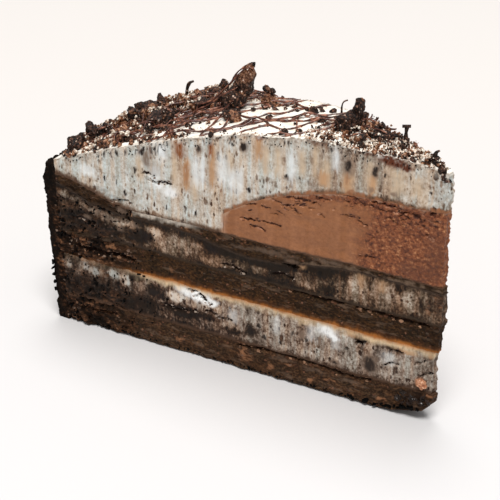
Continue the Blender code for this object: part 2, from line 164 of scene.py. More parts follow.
# Thin strands that show singly: points as s and angle in degrees, and the strand's radius
FINE_STRANDS = (
    (((68.1, -8.7), (65.9, -5.6), (60.1, -3.6), (56.6, -3.2), (55.5, 1.1), (52.3, 6)), 0.26),
    (((64.7, -13.3), (62.3, -10.2), (59.3, -7.6), (53.8, -9), (51.3, -7), (49.7, -2.1), (47.2, 2.7),
      (46.4, 7.1)), 0.30),
    (((83.9, 8.8), (78.2, 10.9), (76.3, 13.8), (73.4, 14.2)), 0.28),
    (((78.3, 7), (70.7, 8.3), (62.3, 7.6), (57, 7.3)), 0.30),
    (((56.5, -13), (51.5, -13.3), (48.9, -11.5)), 0.24),
    (((54.6, -1.3), (51.2, -6), (48.5, -11.3)), 0.24),
    (((77, -13.8), (79.4, -6.2), (80.4, -1.3)), 0.28),
    (((88.6, -14.4), (89.6, -10.2), (87.9, -5.5), (87.3, 0.8)), 0.34),
    (((116.4, -9.9), (117.5, -7), (119.1, -4.1), (124, 4.8)), 0.38),
    (((102.8, -14.6), (105.2, -13.1), (105.2, -9.9)), 0.30),
    (((93, -5), (90, 1), (86.5, 6), (84, 10)), 0.38),
    (((98, -9), (95, -1), (92, 5), (93, 12)), 0.36),
    (((110, -12), (108, -4), (106, 3), (108, 11)), 0.40),
    (((46, -2), (40, 1.5), (37, 2.5)), 0.34),
)

# Strands that lie up against the tall cookie piece, given in the same manner
CLIMBING_STRANDS = (
    (((96, 0.5), (91, 2.6), (87.5, 4), (85, 5.6), (82, 7.4)), 0.26),
    (((95, -1.5), (90.5, 0.8), (87, 2.6), (84.5, 4.4)), 0.24),
    (((93, 4.5), (89, 4.6), (86.5, 5.6), (84, 8)), 0.24),
)

# The step along the cut faces, the width of the step between two layers, the steps from one cut face
# to the other on the upper surface and on hidden ones, and the steps across and up the crust
FINE_STEP = 0.36
EDGE_STEP = 0.06
TOP_SIDE_STEPS = 64
HIDDEN_SIDE_STEPS = 4
CRUST_STEPS = (120, 100)
PIECE_STEP = 0.3


def srgb(*channels):
    """A colour as seen on a screen, from 0 to 255, as the linear one that a shader takes."""
    return tuple(((c / 255 + 0.055) / 1.055) ** 2.4 if c > 10 else c / 255 / 12.92 for c in channels)


def smooth(low, high, x):
    """0 below low, 1 above high, and a smooth rise between them."""
    t = np.clip((x - low) / (high - low), 0, 1)
    return t * t * (3 - 2 * t)


def fade(low, high, x):
    """1 below low, 0 above high, and a smooth fall between them."""
    return 1 - smooth(low, high, x)


def spread(low, high, step):
    """Evenly spaced stops from low to high, about a step apart."""
    return np.linspace(low, high, max(1, round((high - low) / step)) + 1)


def gradient_noise(points, seed):
    """Smooth noise from about -1 to 1 that changes over about one unit."""
    rng = np.random.default_rng(seed)
    order = rng.permutation(256)
    slopes = rng.normal(size=(256, 3))
    slopes /= np.linalg.norm(slopes, axis=1)[:, None]
    cell = np.floor(points).astype(int)
    inside = points - cell
    ease = inside**3 * (inside * (inside * 6 - 15) + 10)
    total = np.zeros(len(points))
    for corner in itertools.product((0, 1), repeat=3):
        key = order[(cell[:, 0] + corner[0]) & 255]
        key = order[(key + cell[:, 1] + corner[1]) & 255]
        key = order[(key + cell[:, 2] + corner[2]) & 255]
        weight = np.prod(np.where(corner, ease, 1 - ease), axis=1)
        total += weight * np.einsum("ij,ij->i", slopes[key], inside - corner)
    return total * 1.6


def layered_noise(points, seed, layers=3):
    """Gradient noise with finer and weaker noise added to it."""
    return sum(gradient_noise(points * 2.1**i, seed + i) * 0.5**i for i in range(layers))


def dot_distance(points, seed):
    """Distance to the nearest of many dots about one unit apart, and that dot's own number."""
    rng = np.random.default_rng(seed)
    order = rng.permutation(256)
    dots = rng.random((256, 4))
    cell = np.floor(points).astype(int)
    nearest = np.full(len(points), 9.0)
    number = np.zeros(len(points))
    for shift in itertools.product((-1, 0, 1), repeat=3):
        there = cell + shift
        key = order[there[:, 0] & 255]
        key = order[(key + there[:, 1]) & 255]
        key = order[(key + there[:, 2]) & 255]
        distance = np.linalg.norm(there + dots[key, :3] - points, axis=1)
        closer = distance < nearest
        nearest[closer] = distance[closer]
        number[closer] = dots[key, 3][closer]
    return nearest, number


# The slice's shape

def plan(s, a):
    return CENTRE_X - s * np.cos(a), s * np.sin(a)


def place(s, a, z):
    x, y = plan(s, a)
    return np.stack(np.broadcast_arrays(x, y, z), axis=-1)


def polar(x, y):
    """Distance from the cake's centre, and angle from the middle line."""
    return np.hypot(CENTRE_X - x, y), np.arctan2(y, CENTRE_X - x)


def waves(kind, s, a):
    """The same gentle waves over the plan of the cake as the solids have."""
    height, length, seed = kind
    x, y = plan(s, a)
    found = [noise.noise((u, v, seed)) for u, v in zip(np.ravel(x) / length, np.ravel(y) / length)]
    return height * np.reshape(found, np.shape(x))


def dome(s, a):
    """Height of the cake's upper surface."""
    outwards = np.clip((s - DOME_START) / (CAKE_RADIUS - DOME_START), 0, None)
    fall = (CENTRE_HEIGHT - RIM_HEIGHT) * outwards**DOME_POWER
    sag = TIP_SAG * fade(0, TIP_SAG_REACH, s)
    return CENTRE_HEIGHT - fall - sag + waves(DOME_WAVES, s, a)


def chocolate_top(s, a):
    drop = CHOCOLATE_DROP * (s / CHOCOLATE_RADIUS) ** CHOCOLATE_POWER
    return CHOCOLATE_HEIGHT - drop + waves(CHOCOLATE_WAVES, s, a)


def base(s, a):
    return 0 * s


def level_top(height, kind):
    """The upper side of a level layer with gentle waves, as a function of the place."""
    return lambda s, a: height + waves(kind, s, a)


cake_bottom_top = level_top(CAKE_BOTTOM_TOP, CAKE_BOTTOM_WAVES)
mousse_lower_top = level_top(MOUSSE_LOWER_TOP, MOUSSE_LOWER_WAVES)
cake_middle_top = level_top(CAKE_MIDDLE_TOP, CAKE_MIDDLE_WAVES)


def cake_top_top(s, a):
    return CAKE_TOP_TOP + RIM_RISE * smooth(RIM_RISE_START, RIM_RISE_END, s) + waves(CAKE_TOP_WAVES, s, a)


def mousse_middle_top(s, a):
    extra = sum(thick * np.exp(-(((s - middle) / reach) ** 2)) for thick, middle, reach in THICK_STRETCHES)
    return cake_top_top(s, a) - SHEET - extra


def cream_floor(s, a):
    """The cream lies on the chocolate mousse, and past its edge on the uppermost cake layer."""
    return np.where(s < CHOCOLATE_RADIUS + EDGE_STEP / 2, chocolate_top(s, a), cake_top_top(s, a))


def wall_lean(z):
    return WALL_TAPER * (1 - z / RIM_HEIGHT)


def leaned(s, z):
    """Distance from the centre with the wall's lean, which dies away inwards."""
    return s - wall_lean(z) * smooth(0.9 * FILLING_RADIUS, FILLING_RADIUS, s)


def on_crust(side, z):
    """A place on the outside of the crust."""
    return place(CAKE_RADIUS - CRUST_INSET - wall_lean(z), side * HALF, z)


def cut_face_relief(s, z, side, depth):
    """The broad relief of a cut face, the same as on the solids."""
    rough = np.zeros(s.shape)
    for scale, weight in ((1, 0.65), (2.3, 0.35)):
        flat = zip(np.ravel(s) / RELIEF_LENGTH * scale, np.ravel(z) / RELIEF_HEIGHT * scale)
        rough += weight * np.reshape([noise.noise((u, v, (40 + 7 * side) * scale)) for u, v in flat], s.shape)
    return depth * rough * smooth(2, 14, s)


S_STOPS = np.concatenate([
    spread(TIP_START, CHOCOLATE_RADIUS, FINE_STEP),
    spread(CHOCOLATE_RADIUS + EDGE_STEP, INNER_WALL, FINE_STEP),
])


# Marks on the near cut face, each as s, z, half width and half height, and the colours they have.
# The far face gets marks of the same kinds at places drawn at random.

MARK_COLOURS = {
    "cookie": srgb(36, 27, 23),
    "halo": srgb(124, 103, 88),
    "drip": srgb(138, 78, 36),
    "caramel": srgb(192, 150, 112),
    "beige": srgb(208, 184, 156),
    "pale": srgb(236, 239, 238),
    "white": srgb(252, 252, 250),
    "stain": srgb(92, 46, 27),
    "russet": srgb(102, 60, 40),
    "tan": srgb(205, 142, 104),
    "wet": srgb(24, 14, 12),
}
STREAKS = ("drip", "caramel", "beige", "pale")
RAISED = ("cookie", "crumbs", "tan")

MARKS = {
    "mousse_top": (
        ("beige", 0.8, (
            (52.1, 69.2, 1.2, 5.4), (44.9, 70.7, 0.9, 5.3), (41.1, 71.6, 1.1, 5.2), (37.8, 67.9, 1.5, 5.1),
            (31.5, 67.9, 1.5, 4.5), (55.7, 68.4, 1.2, 5.4), (66.7, 64.5, 1.2, 4.6), (77.9, 54.5, 1.2, 4),
            (17.5, 70.5, 2.4, 4.6), (25, 70.5, 1.8, 5), (12, 70, 1.6, 4), (84.6, 59, 1, 5),
            (96, 57, 1.2, 4),
        )),
        ("white", 0.75, ((86.1, 52, 2.6, 1.7), (89.5, 53, 1.4, 0.8), (88.6, 63, 1, 2.6))),
        ("pale", 0.72, (
            (88.2, 64.2, 1.4, 2.6), (77.4, 60.5, 1.5, 5), (66.2, 60, 1.5, 4.8), (69.2, 62.5, 1.4, 5.5),
            (63.6, 60.7, 1, 4.6), (35.1, 72.9, 0.9, 3.8), (75.2, 61.5, 0.7, 5), (48.2, 68, 1.1, 5.5),
            (91, 55.5, 1.4, 4), (114, 52.5, 2.4, 1.8),
        )),
        ("caramel", 0.95, (
            (80.7, 58.5, 1.4, 5.6), (72.3, 61.5, 1.2, 7.5), (57.8, 71.4, 1.3, 4.4), (31.8, 67, 1.5, 3.4),
            (24.6, 68.2, 1.1, 3), (38.5, 66.5, 1.6, 2.6),
        )),
        ("drip", 0.9, ((82.6, 65.6, 1.6, 2.8), (72.9, 67.6, 0.8, 2.6), (57.9, 74.6, 0.8, 1.2))),
        ("drip", 0.45, ((80.7, 59, 0.7, 3.6), (31.9, 68.6, 0.6, 2))),
        ("halo", 0.75, (
            (93.6, 60.6, 1.6, 3), (76.4, 67, 1.3, 1.8), (31.6, 71.6, 2.1, 3), (49.3, 64.5, 0.9, 0.9),
            (18.7, 66.8, 1.3, 0.8), (62.3, 70.6, 1.6, 2), (23.7, 71.9, 1.3, 2.2), (24.5, 66.5, 1, 0.7),
            (55.2, 62.8, 0.7, 1),
        )),
        ("cookie", 0.95, (
            (31.6, 72, 1, 1.7), (23.7, 72, 0.8, 1.4), (62.4, 70.9, 1.1, 1.4), (65.7, 70.7, 0.5, 0.5),
            (64.5, 68.3, 0.4, 0.5), (60.8, 58.6, 0.6, 1), (100.9, 48.3, 0.6, 1), (77.7, 47.3, 0.5, 1),
            (4.8, 73.9, 0.4, 0.8), (18, 75, 0.6, 0.7), (21.1, 71.6, 0.4, 0.7), (108.2, 51.4, 0.4, 1.1),
            (103.8, 51.1, 0.4, 1.3), (87.6, 46.9, 0.4, 1.1), (97.5, 56.3, 0.5, 1), (95.3, 62.3, 0.9, 1.1),
            (71.5, 55, 0.4, 0.9), (45.5, 65.5, 0.4, 0.7), (76.4, 67.2, 0.5, 0.7), (49.6, 65, 0.4, 0.6),
            (8.5, 69.5, 0.5, 0.5),
        )),
        ("stain", 0.95, (
            (21, 76.2, 2.6, 1.6), (18, 75.6, 3, 1.8), (15, 75, 1.6, 1.2), (57, 74.8, 1.2, 0.7),
        )),
        ("stain", 0.4, (
            (40, 76.2, 4, 0.8), (26, 76.8, 3, 0.9), (92.3, 63.6, 0.8, 2.4), (96, 62.6, 0.6, 2),
            (100.3, 61, 0.5, 1.4), (105.2, 59.6, 0.4, 1.2),
        )),
        ("halo", 0.3, ((91, 58, 2.6, 2.6),)),
    ),
    "mousse_chocolate": (
        ("russet", 0.45, ((6.5, 50, 3.4, 9), (12, 46, 5, 3.4))),
    ),
    "cake_top": (
        ("halo", 0.45, (
            (36.5, 42.2, 6, 0.8), (54.2, 40.7, 6, 1), (15, 41.2, 4, 0.6), (24, 41.2, 3, 0.6),
            (47, 39.6, 3, 1), (63, 40, 4, 0.6),
        )),
        ("crumbs", 0.5, ((70, 41.6, 3, 0.9), (80.5, 41.3, 2.6, 0.9), (93, 42, 2, 0.8), (52, 42.6, 2, 0.5))),
        ("halo", 0.7, ((103, 42, 1.7, 1.6), (101.2, 41, 1.2, 1))),
    ),
    "mousse_middle": (
        ("light", 0.16, ((79.9, 35.7, 6, 3.8), (87.5, 35, 4.4, 3.6))),
        ("light", 0.28, (
            (71.8, 33.2, 4.6, 2.4), (65.3, 34.9, 4.2, 3), (45, 37, 1.8, 3.6), (28.4, 37, 4.5, 3.4),
            (19.6, 37.6, 4.4, 3.4), (12.3, 36.6, 3.8, 3.4), (49.3, 40.3, 1.8, 0.8), (42.5, 33.5, 2.6, 1.6),
            (58, 34.4, 2.6, 1.6),
        )),
        ("light", 0.5, (
            (109.5, 39.4, 3.8, 2.1), (103.5, 38.8, 3.2, 2.4), (114, 41, 3.2, 1.9), (118.5, 42.4, 3, 1.7),
            (122.8, 43.4, 2, 1.8), (99.8, 38.6, 1.6, 2), (92, 38, 3, 1.8),
        )),
        ("dark", 0.5, ((97, 35.2, 2.4, 1.9), (117, 36.4, 6, 2.2), (108, 34.8, 5, 2))),
        ("dark", 0.32, (
            (94.9, 36.2, 2, 2.6), (65.3, 39.9, 8, 1.6), (54.2, 37.7, 6, 2.4), (38.5, 39.4, 4.4, 3),
            (31.4, 38.9, 1.2, 2.4), (23.8, 38, 0.8, 2.2), (9.4, 36.2, 1.2, 2.4), (74, 38.8, 2.2, 2.6),
            (36, 33.5, 2.4, 1.6), (15.6, 39.5, 0.9, 1.8),
        )),
        ("caramel", 0.6, ((26.8, 39, 1.2, 2.6), (20.5, 38.6, 1.2, 2.4), (44.3, 39.6, 1, 1.6))),
        ("crumbs", 0.6, ((117.2, 31.9, 2.9, 1), (5, 38, 1.6, 4.4), (7.4, 36, 0.7, 3))),
        ("hole", 1, (
            (48.9, 39.1, 2.2, 1.3), (51.6, 40, 1.5, 0.7), (46.2, 38.2, 1.4, 0.6), (100.8, 39.6, 1, 1.1),
        )),
        ("wet", 0.65, ((94.2, 35.4, 2, 2.2), (54, 38.9, 2.4, 0.9), (72.6, 36.8, 1.6, 1.2))),
        ("halo", 0.6, (
            (111, 40.6, 2.4, 0.9), (106.8, 38, 1.6, 0.8), (115, 37.4, 2, 0.7), (103.4, 36.2, 1.4, 1),
            (98.6, 38.6, 1.6, 0.9),
        )),
    ),
    "cake_middle": (
        ("crumbs", 0.65, (
            (117.2, 28.7, 2.9, 1.8), (106.6, 29.6, 2.4, 1.2), (98.7, 27.6, 1.4, 1.3),
            (86.1, 26.9, 1.1, 1.3), (22, 24.9, 1.4, 0.6), (76, 28.5, 0.7, 0.6),
        )),
    ),
    "mousse_lower": (
        ("white", 1, ((81, 21.4, 4.2, 1.9), (77.2, 20.6, 4.2, 2.1), (73.4, 19.6, 2.8, 1.5))),
        ("white", 0.9, ((36.3, 20.6, 3.4, 2.2), (33.8, 18.8, 1.6, 1))),
        ("pale", 0.4, (
            (41, 18.6, 1.4, 3), (17.4, 17, 2, 2.4), (52, 18, 1, 3), (66, 17, 1.4, 2.4), (33.5, 17, 1.2, 2),
        )),
        ("light", 0.6, (
            (117.4, 20.6, 2.6, 1.7), (113.2, 19.4, 2.8, 1.8), (106.4, 20.2, 2.4, 1.9),
            (102.6, 19.2, 2, 2.2), (123.4, 19.4, 1.2, 1.8), (85, 18.4, 3.6, 1.6),
        )),
        ("dark", 0.4, (
            (77.3, 14.6, 6.2, 1.6), (91.5, 18.4, 4.6, 2.8), (99, 21, 3.6, 1.2), (110.5, 13, 5, 2),
            (97, 13.5, 6, 2.4), (83, 14, 6, 2.2), (66, 12, 5, 1.2), (60.2, 14, 2.8, 2.6),
            (26, 20.5, 2.6, 1), (16.5, 20.4, 3.6, 0.9),
        )),
        ("halo", 0.8, (
            (23, 13.9, 2.7, 3.9), (33.7, 10.9, 1.9, 1.2), (44, 17, 1.3, 2), (38.5, 17, 0.7, 1.6),
        )),
        ("wet", 0.7, ((89.6, 16.7, 1.7, 1), (77.5, 14, 3, 0.5), (70.6, 15.4, 1.6, 0.7))),
        ("cookie", 0.9, (
            (60.2, 14, 1, 1.3), (55.5, 13, 0.8, 1), (57.6, 15.8, 0.6, 0.7), (50.6, 12.8, 0.5, 0.7),
            (23, 13.6, 1.7, 2.8), (92.5, 17.9, 1.2, 1.3), (42.4, 16, 0.6, 1), (47, 16.5, 0.5, 1.1),
            (88, 17, 1.4, 0.9), (33.7, 10.9, 0.9, 0.6), (67, 19.3, 0.4, 0.6),
        )),
        ("caramel", 0.8, ((29, 21.6, 1.8, 1.2), (12.5, 20.6, 3, 0.9))),
        ("crumbs", 0.9, ((5.1, 21.4, 1.3, 1.5),)),
        ("tan", 1, ((7.7, 11.9, 1.7, 1.6),)),
        ("hole", 1, (
            (26.9, 19.3, 1.5, 0.9), (25, 19.9, 0.8, 0.6), (30.3, 16.4, 0.5, 0.6), (88.6, 16.5, 0.9, 0.7),
        )),
    ),
    "cake_bottom": (
        ("crumbs", 0.95, (
            (62.2, 4.9, 3.1, 3.8), (41.2, 2.2, 0.9, 1), (4.6, 8.2, 1.6, 1.2), (28, 2, 1.2, 0.8),
            (84, 4, 2, 1.6), (19, 3, 2, 1), (54, 3.2, 1.6, 1.4), (47.6, 5.6, 2.6, 0.8), (35, 4.4, 3, 0.7),
        )),
        ("halo", 0.35, ((50, 7, 4, 0.8), (40, 6.4, 4, 0.7), (29, 6, 4, 0.8))),
        ("wet", 0.45, ((9.4, 7, 3.8, 1.8), (11.6, 4.8, 2, 1.4))),
    ),
}

# Cracks in the near cut face, as points of s and z
CRACKS = {
    "mousse_top": (
        ((93.3, 54.1), (90, 53.9), (88, 54.7), (86, 54.2)),
        ((105.8, 44.9), (103.1, 45.4), (100.7, 45.8), (99.3, 45.1)),
        ((95.6, 55.6), (93.4, 56.2), (91.4, 55.6)),
    ),
    "mousse_chocolate": (
        ((62.1, 53.8), (58.7, 54.6)), ((49.5, 56.1), (46.5, 55.6)),
        ((63.7, 49.1), (57.4, 49.7), (51.3, 49.6)), ((60.5, 47.7), (55.9, 47.3)),
        ((50.5, 60), (46.5, 58.9), (42.4, 59.3)), ((40.6, 60.9), (36.5, 60.6)),
        ((33.7, 63.9), (31.6, 63.3), (28.7, 63), (26.5, 61.4)),
        ((32.9, 57.6), (30, 57.2), (27.6, 56.6), (25.6, 55.8)), ((27.5, 46.4), (22.9, 47)),
        ((39.6, 55.9), (38, 55.5)), ((25, 62.1), (20.6, 61.1), (18.6, 61.6)),
        ((16.9, 60.6), (15.6, 61.6), (14, 60.9)), ((18.5, 58.7), (17, 58.4)), ((12.8, 61.8), (9.4, 60.9)),
        ((9, 57.4), (7.2, 56)), ((24.6, 63.4), (17.4, 62.9), (11.1, 62)),
    ),
    "cake_top": (
        ((104.6, 43.6), (102, 43.8), (100, 43)), ((104.8, 41.2), (102.4, 40), (100.4, 39.4)),
        ((99.6, 43.2), (99.9, 41.6), (99.4, 40.4)),
    ),
    "mousse_middle": (
        ((69.9, 33.1), (66.3, 33.6), (63.7, 32.6), (61.9, 32.3)),
        ((58.3, 40.4), (55.5, 40.2), (52.7, 39.7), (48, 39.1)), ((53.6, 34.4), (50, 35), (47, 34.2)),
        ((116, 42), (112.5, 40.6), (109, 40.9)), ((107, 37.4), (104, 38.2)),
        ((121, 36), (117, 36.8), (113, 35.2)),
    ),
    "cake_middle": (
        ((47.3, 30.6), (44.8, 30.8), (40.2, 30.2), (36, 30.4), (32, 30.6)),
        ((119, 27), (112, 26.2), (105, 27.2), (99, 26.4)),
        ((27.6, 30.9), (25.2, 30.6), (21.5, 30.7), (18.4, 30.3), (11.7, 30.2), (7, 30.4)),
    ),
    "mousse_lower": (
        ((18.8, 14.9), (16.6, 15.8), (14.4, 15.9)), ((9.8, 18), (6.5, 19)),
        ((8.7, 13.2), (6.6, 14.9), (4.2, 15.8)), ((69.4, 15.1), (66.7, 15.5)), ((17, 19.9), (13.4, 20.2)),
        ((81.4, 21.9), (78.6, 21.7), (75.6, 20.5)), ((78.6, 20.4), (76, 19.9), (73, 18.9)),
        ((90.5, 14.9), (84, 14.2), (78.5, 15.2)), ((75, 16.4), (71.5, 16)),
    ),
    "cake_bottom": (
        ((121, 6.6), (114, 5.6), (106, 6.4)),
        (
            (64.1, 8), (57.9, 8.2), (53.4, 8.8), (48.6, 9), (45.3, 8.6), (39.1, 8.9), (35, 8.3),
            (31.6, 7.8), (25.8, 8), (22.5, 8.3),
        ),
    ),
}
# How wide cracks are in some layers, how far from them the shader paints shade and light chips, and how deep
# they are
CRACK_WIDTHS = {"cake_middle": 1.4, "cake_bottom": 1.3, "mousse_chocolate": 0.75}
CRACK_REACH = 1.2
CRACK_DEPTH = 0.7
HOLE_DEPTH = 1.8

# How much of a layer's colour gives way to broken crumbs at the crust end
BROKEN_SHARE = {"cake_top": 0.15, "mousse_middle": 0.45, "mousse_lower": 0.5, "mousse_top": 0.4}
FULLY_BROKEN = 0.92

# The soft colour that both sides take where two layers meet
SEAMS = {
    "bottom": srgb(80, 58, 44),
    "glow": srgb(176, 110, 54),
    "honey": srgb(232, 204, 164),
    "ember": srgb(92, 54, 28),
    "middle": srgb(58, 44, 32),
    "sheet": srgb(58, 44, 34),
    "cream": srgb(92, 68, 52),
    "rich": srgb(176, 130, 100),
    "milk": srgb(194, 162, 136),
    "cocoa": srgb(150, 100, 68),
    "mottle": srgb(126, 104, 86),
    "creamy": srgb(198, 186, 172),
    "plain": srgb(82, 56, 40),
}


def moved_marks(marks, seed):
    """The same marks at other places, for the far cut face."""
    rng = random.Random(seed)
    return tuple(
        (colour, amount, tuple(
            (float(np.clip(s + rng.uniform(-22, 22), 8, 120)), z + rng.uniform(-0.8, 0.8), w, h)
            for s, z, w, h in spots
        ))
        for colour, amount, spots in marks
    )


def moved_cracks(cracks, seed):
    rng = random.Random(seed)
    moved = []
    for crack in cracks:
        shift = rng.uniform(-6, 22)
        lift = rng.uniform(-0.5, 0.5)
        moved.append(tuple((max(6, s + shift), z + lift) for s, z in crack))
    return tuple(moved)


def distance_to_line(s, z, points):
    """Distance of each place on a cut face from a line through the points."""
    best = np.full(s.shape, 1e9)
    for (s0, z0), (s1, z1) in zip(points, points[1:]):
        run, rise = s1 - s0, z1 - z0
        t = np.clip(((s - s0) * run + (z - z0) * rise) / (run**2 + rise**2), 0, 1)
        best = np.minimum(best, np.hypot(s - s0 - t * run, z - z0 - t * rise))
    return best


def cover(paint, colour, amount):
    """Lays a colour over a paint of red, green, blue and amount."""
    kept = paint[..., 3] * (1 - amount)
    total = kept + amount
    share = np.divide(amount, total, out=np.zeros_like(total), where=total > 1e-6)[..., None]
    paint[..., :3] = paint[..., :3] * (1 - share) + np.asarray(colour) * share
    paint[..., 3] = total


class Face:
    """One cut face of a layer: its grid of places, its relief and what is painted on it."""

    def __init__(self, s, z, floor, ceiling, side):
        self.s, self.z, self.side = s, z, side
        self.above_floor = z - floor
        self.below_ceiling = ceiling - z
        self.flat = place(s, side * HALF, z).reshape(-1, 3)
        self.wobble_s = s + 0.5 * self.noise((1.4, 1.4, 2.2), 81) + 0.2 * self.noise((0.6, 0.6, 0.8), 82)
        self.wobble_z = z + 0.6 * self.noise((1.2, 1.2, 2.0), 83) + 0.2 * self.noise((0.6, 0.6, 0.8), 84)
        self.wave_s = s + 0.35 * self.noise((2.4, 2.4, 9.0), 85)
        self.knife = self.noise((0.6, 0.6, 9.0), 86, 2)
        self.out = np.zeros(s.shape)
        self.smear = np.zeros(s.shape)
        self.ruddy = np.zeros(s.shape)
        self.stain = np.zeros((*s.shape, 4))
        self.seam = np.zeros((*s.shape, 4))
        self.crack = np.zeros(s.shape)

    def noise(self, lengths, seed, layers=1):
        return layered_noise(self.flat / lengths, seed, layers).reshape(self.s.shape)

    def dots(self, lengths, seed):
        distance, number = dot_distance(self.flat / lengths, seed)
        return distance.reshape(self.s.shape), number.reshape(self.s.shape)

    def spot(self, s, z, half_s, half_z, core=0.35, rim=1.3):
        reach = np.hypot((self.wobble_s - s) / half_s, (self.wobble_z - z) / half_z)
        return fade(core, rim, reach)

    def streak(self, s, z, half_s, half_z):
        """A mark drawn down by the knife, with feathered ends."""
        across = np.exp(-(((self.wave_s - s) / half_s) ** 2))
        along = fade(0.45, 1.15, np.abs(self.z - z) / half_z + 0.45 * self.knife)
        return across * along

    def mark(self, marks):
        """Paints the marks; light and dark ones change how much cake is smeared over the mousse."""
        for colour, amount, spots in marks:
            soft = (0.6, 1.2) if colour in ("cookie", "wet") else ()
            for spot in spots:
                inside = amount * (self.streak(*spot) if colour in STREAKS else self.spot(*spot, *soft))
                if colour in ("light", "dark"):
                    self.smear += inside if colour == "dark" else -inside
                elif colour == "crumbs":
                    self.ruddy = np.maximum(self.ruddy, inside)
                elif colour == "hole":
                    self.out -= HOLE_DEPTH * inside
                    # A hole's middle gets painted shade through the crack mask
                    self.crack = np.maximum(self.crack, np.clip(1.5 * inside, 0, 1))
                else:
                    cover(self.stain, MARK_COLOURS[colour], inside)
                if colour in RAISED:
                    self.out += 0.18 * inside * (0.6 + self.noise((0.7, 0.7, 0.7), 91))

    def split(self, cracks, width=1.0):
        """Opens cracks; the shader paints shade into their dark middle, from how near they are."""
        ragged_z = self.z + 0.42 * self.noise((1.1, 1.1, 1.1), 96) + 0.16 * self.noise((0.5, 0.5, 0.5), 98)
        pinch = 0.3 * np.clip(self.noise((1.8, 1.8, 1.8), 99, 2), -0.4, 1)
        for points in cracks:
            distance = distance_to_line(self.s, ragged_z, points) / width + pinch
            self.crack = np.maximum(self.crack, np.clip(1 - distance / CRACK_REACH, 0, 1))
            self.out -= CRACK_DEPTH * width * fade(0.1, 0.55, distance)

    def join(self, colour, distance, reach, strength=1.0, ragged=0.4):
        """Blends towards the colour of a boundary with the next layer; the glow fades at the crust."""
        uneven = self.noise((2.2, 2.2, 2.2), 97, 2) + 0.3 * self.knife
        if colour in ("glow", "honey", "ember"):
            strength = strength * (1 - 0.9 * smooth(92, 106, self.wobble_s))
            strength = strength * (0.6 + 0.4 * smooth(-0.5, 0.3, self.noise((9, 9, 9), 95)))
        cover(self.seam, SEAMS[colour], strength * fade(-0.1, 1.1, distance / reach + ragged * uneven))


# Relief of the cut faces, outwards

def broken_zone(face):
    """How crumbled the face is: most at the crust end, and a little at the point."""
    at_crust = smooth(92, 112, face.s + 3 * face.noise((6, 6, 6), 61)) * fade(44, 50, face.z)
    return at_crust + 0.35 * fade(5, 13, face.s)


def crumb_relief(face):
    distance, number = face.dots((1.5, 1.5, 1.3), 31)
    pits = np.where(number > 0.62, fade(0.1, 0.42, distance), 0)
    fine = 0.20 * face.noise((1.7, 1.7, 1.2), 32, 3) + 0.12 * face.noise((0.9, 0.9, 0.8), 36)
    rough = 0.85 * face.noise((3.4, 3.4, 2.0), 38, 3) + 0.45 * face.noise((1.3, 1.3, 1.1), 39, 2)
    return fine - 0.28 * pits + broken_zone(face) * rough


def cream_relief(face):
    knife = 0.11 * face.noise((0.9, 0.9, 14), 41) + 0.05 * face.noise((0.45, 0.45, 5), 42)
    dents = 0.07 * face.noise((2.4, 2.4, 2.4), 43, 2)
    fine = 0.07 * face.noise((0.9, 0.9, 1.1), 40)
    rough = 0.75 * face.noise((3.2, 3.2, 2.0), 44, 3) + 0.4 * face.noise((1.3, 1.3, 1.1), 45, 2)
    return knife + dents + fine + broken_zone(face) * rough


def chocolate_relief(face):
    grain = chocolate_grain(face)
    distance, number = face.dots((1.3, 1.3, 1.0), 51)
    pits = np.where(number > 0.55, fade(0.1, 0.45, distance), 0)
    knife = 0.05 * face.noise((0.9, 0.9, 16), 52)
    return knife + grain * (0.30 * face.noise((1.1, 1.1, 0.9), 53, 3) - 0.34 * pits)


def chocolate_grain(face):
    """Where the chocolate mousse tore instead of being cut smooth: towards the point and its top."""
    ragged = face.s + 3.5 * face.noise((4, 4, 4), 54, 2)
    near_top = fade(1.0, 3.4, face.below_ceiling) * fade(44, 52, ragged)
    return np.clip(fade(22, 33, ragged) + 0.8 * near_top, 0, 1)


# The layers as skins over a grid

class Skin:
    """A closed skin over a grid of (s, side, share) stops; share is the part of the layer's height."""

    def __init__(self, s_stops, side_stops, share_stops, floor, ceiling):
        axes = (s_stops, side_stops, share_stops)
        sizes = tuple(len(stops) for stops in axes)
        index = np.indices(sizes)
        last = np.reshape(sizes, (3, 1, 1, 1)) - 1
        on_skin = ((index == 0) | (index == last)).any(axis=0)
        number = np.full(sizes, -1)
        number[on_skin] = np.arange(on_skin.sum())
        self.i, self.k, self.j = (part[on_skin] for part in index)
        self.s, self.side, self.share = s_stops[self.i], side_stops[self.k], share_stops[self.j]
        self.quads = self.sheets(number)
        grid_s, grid_a = np.meshgrid(s_stops, side_stops * HALF, indexing="ij")
        self.low, self.high = floor(grid_s, grid_a), ceiling(grid_s, grid_a)
        low, high = self.low[self.i, self.k], self.high[self.i, self.k]
        self.z = low + (high - low) * self.share
        self.far_share = (1 + self.side) / 2
        self.top = self.j == sizes[2] - 1
        self.faces = [self.face(s_stops, share_stops, k, side) for k, side in ((0, -1), (-1, 1))]

    @staticmethod
    def sheets(number):
        quads = []
        for axis, turn in enumerate((-1, 1, -1)):
            for end, outward in ((0, -1), (-1, 1)):
                sheet = np.take(number, end, axis=axis)
                corners = [sheet[:-1, :-1], sheet[1:, :-1], sheet[1:, 1:], sheet[:-1, 1:]]
                if turn * outward < 0:
                    corners.reverse()
                quads.append(np.stack(corners, axis=-1).reshape(-1, 4))
        return np.concatenate(quads)

    def face(self, s_stops, share_stops, k, side):
        low, high = self.low[:, k, None], self.high[:, k, None]
        z = low + (high - low) * share_stops[None, :]
        s = np.broadcast_to(s_stops[:, None], z.shape)
        return Face(s, z, low, high, side)

    def across(self, kind):
        """Spreads what both cut faces have over the whole skin."""
        near, far = (getattr(face, kind)[self.i, self.j] for face in self.faces)
        share = self.far_share if near.ndim == 1 else self.far_share[:, None]
        return near * (1 - share) + far * share


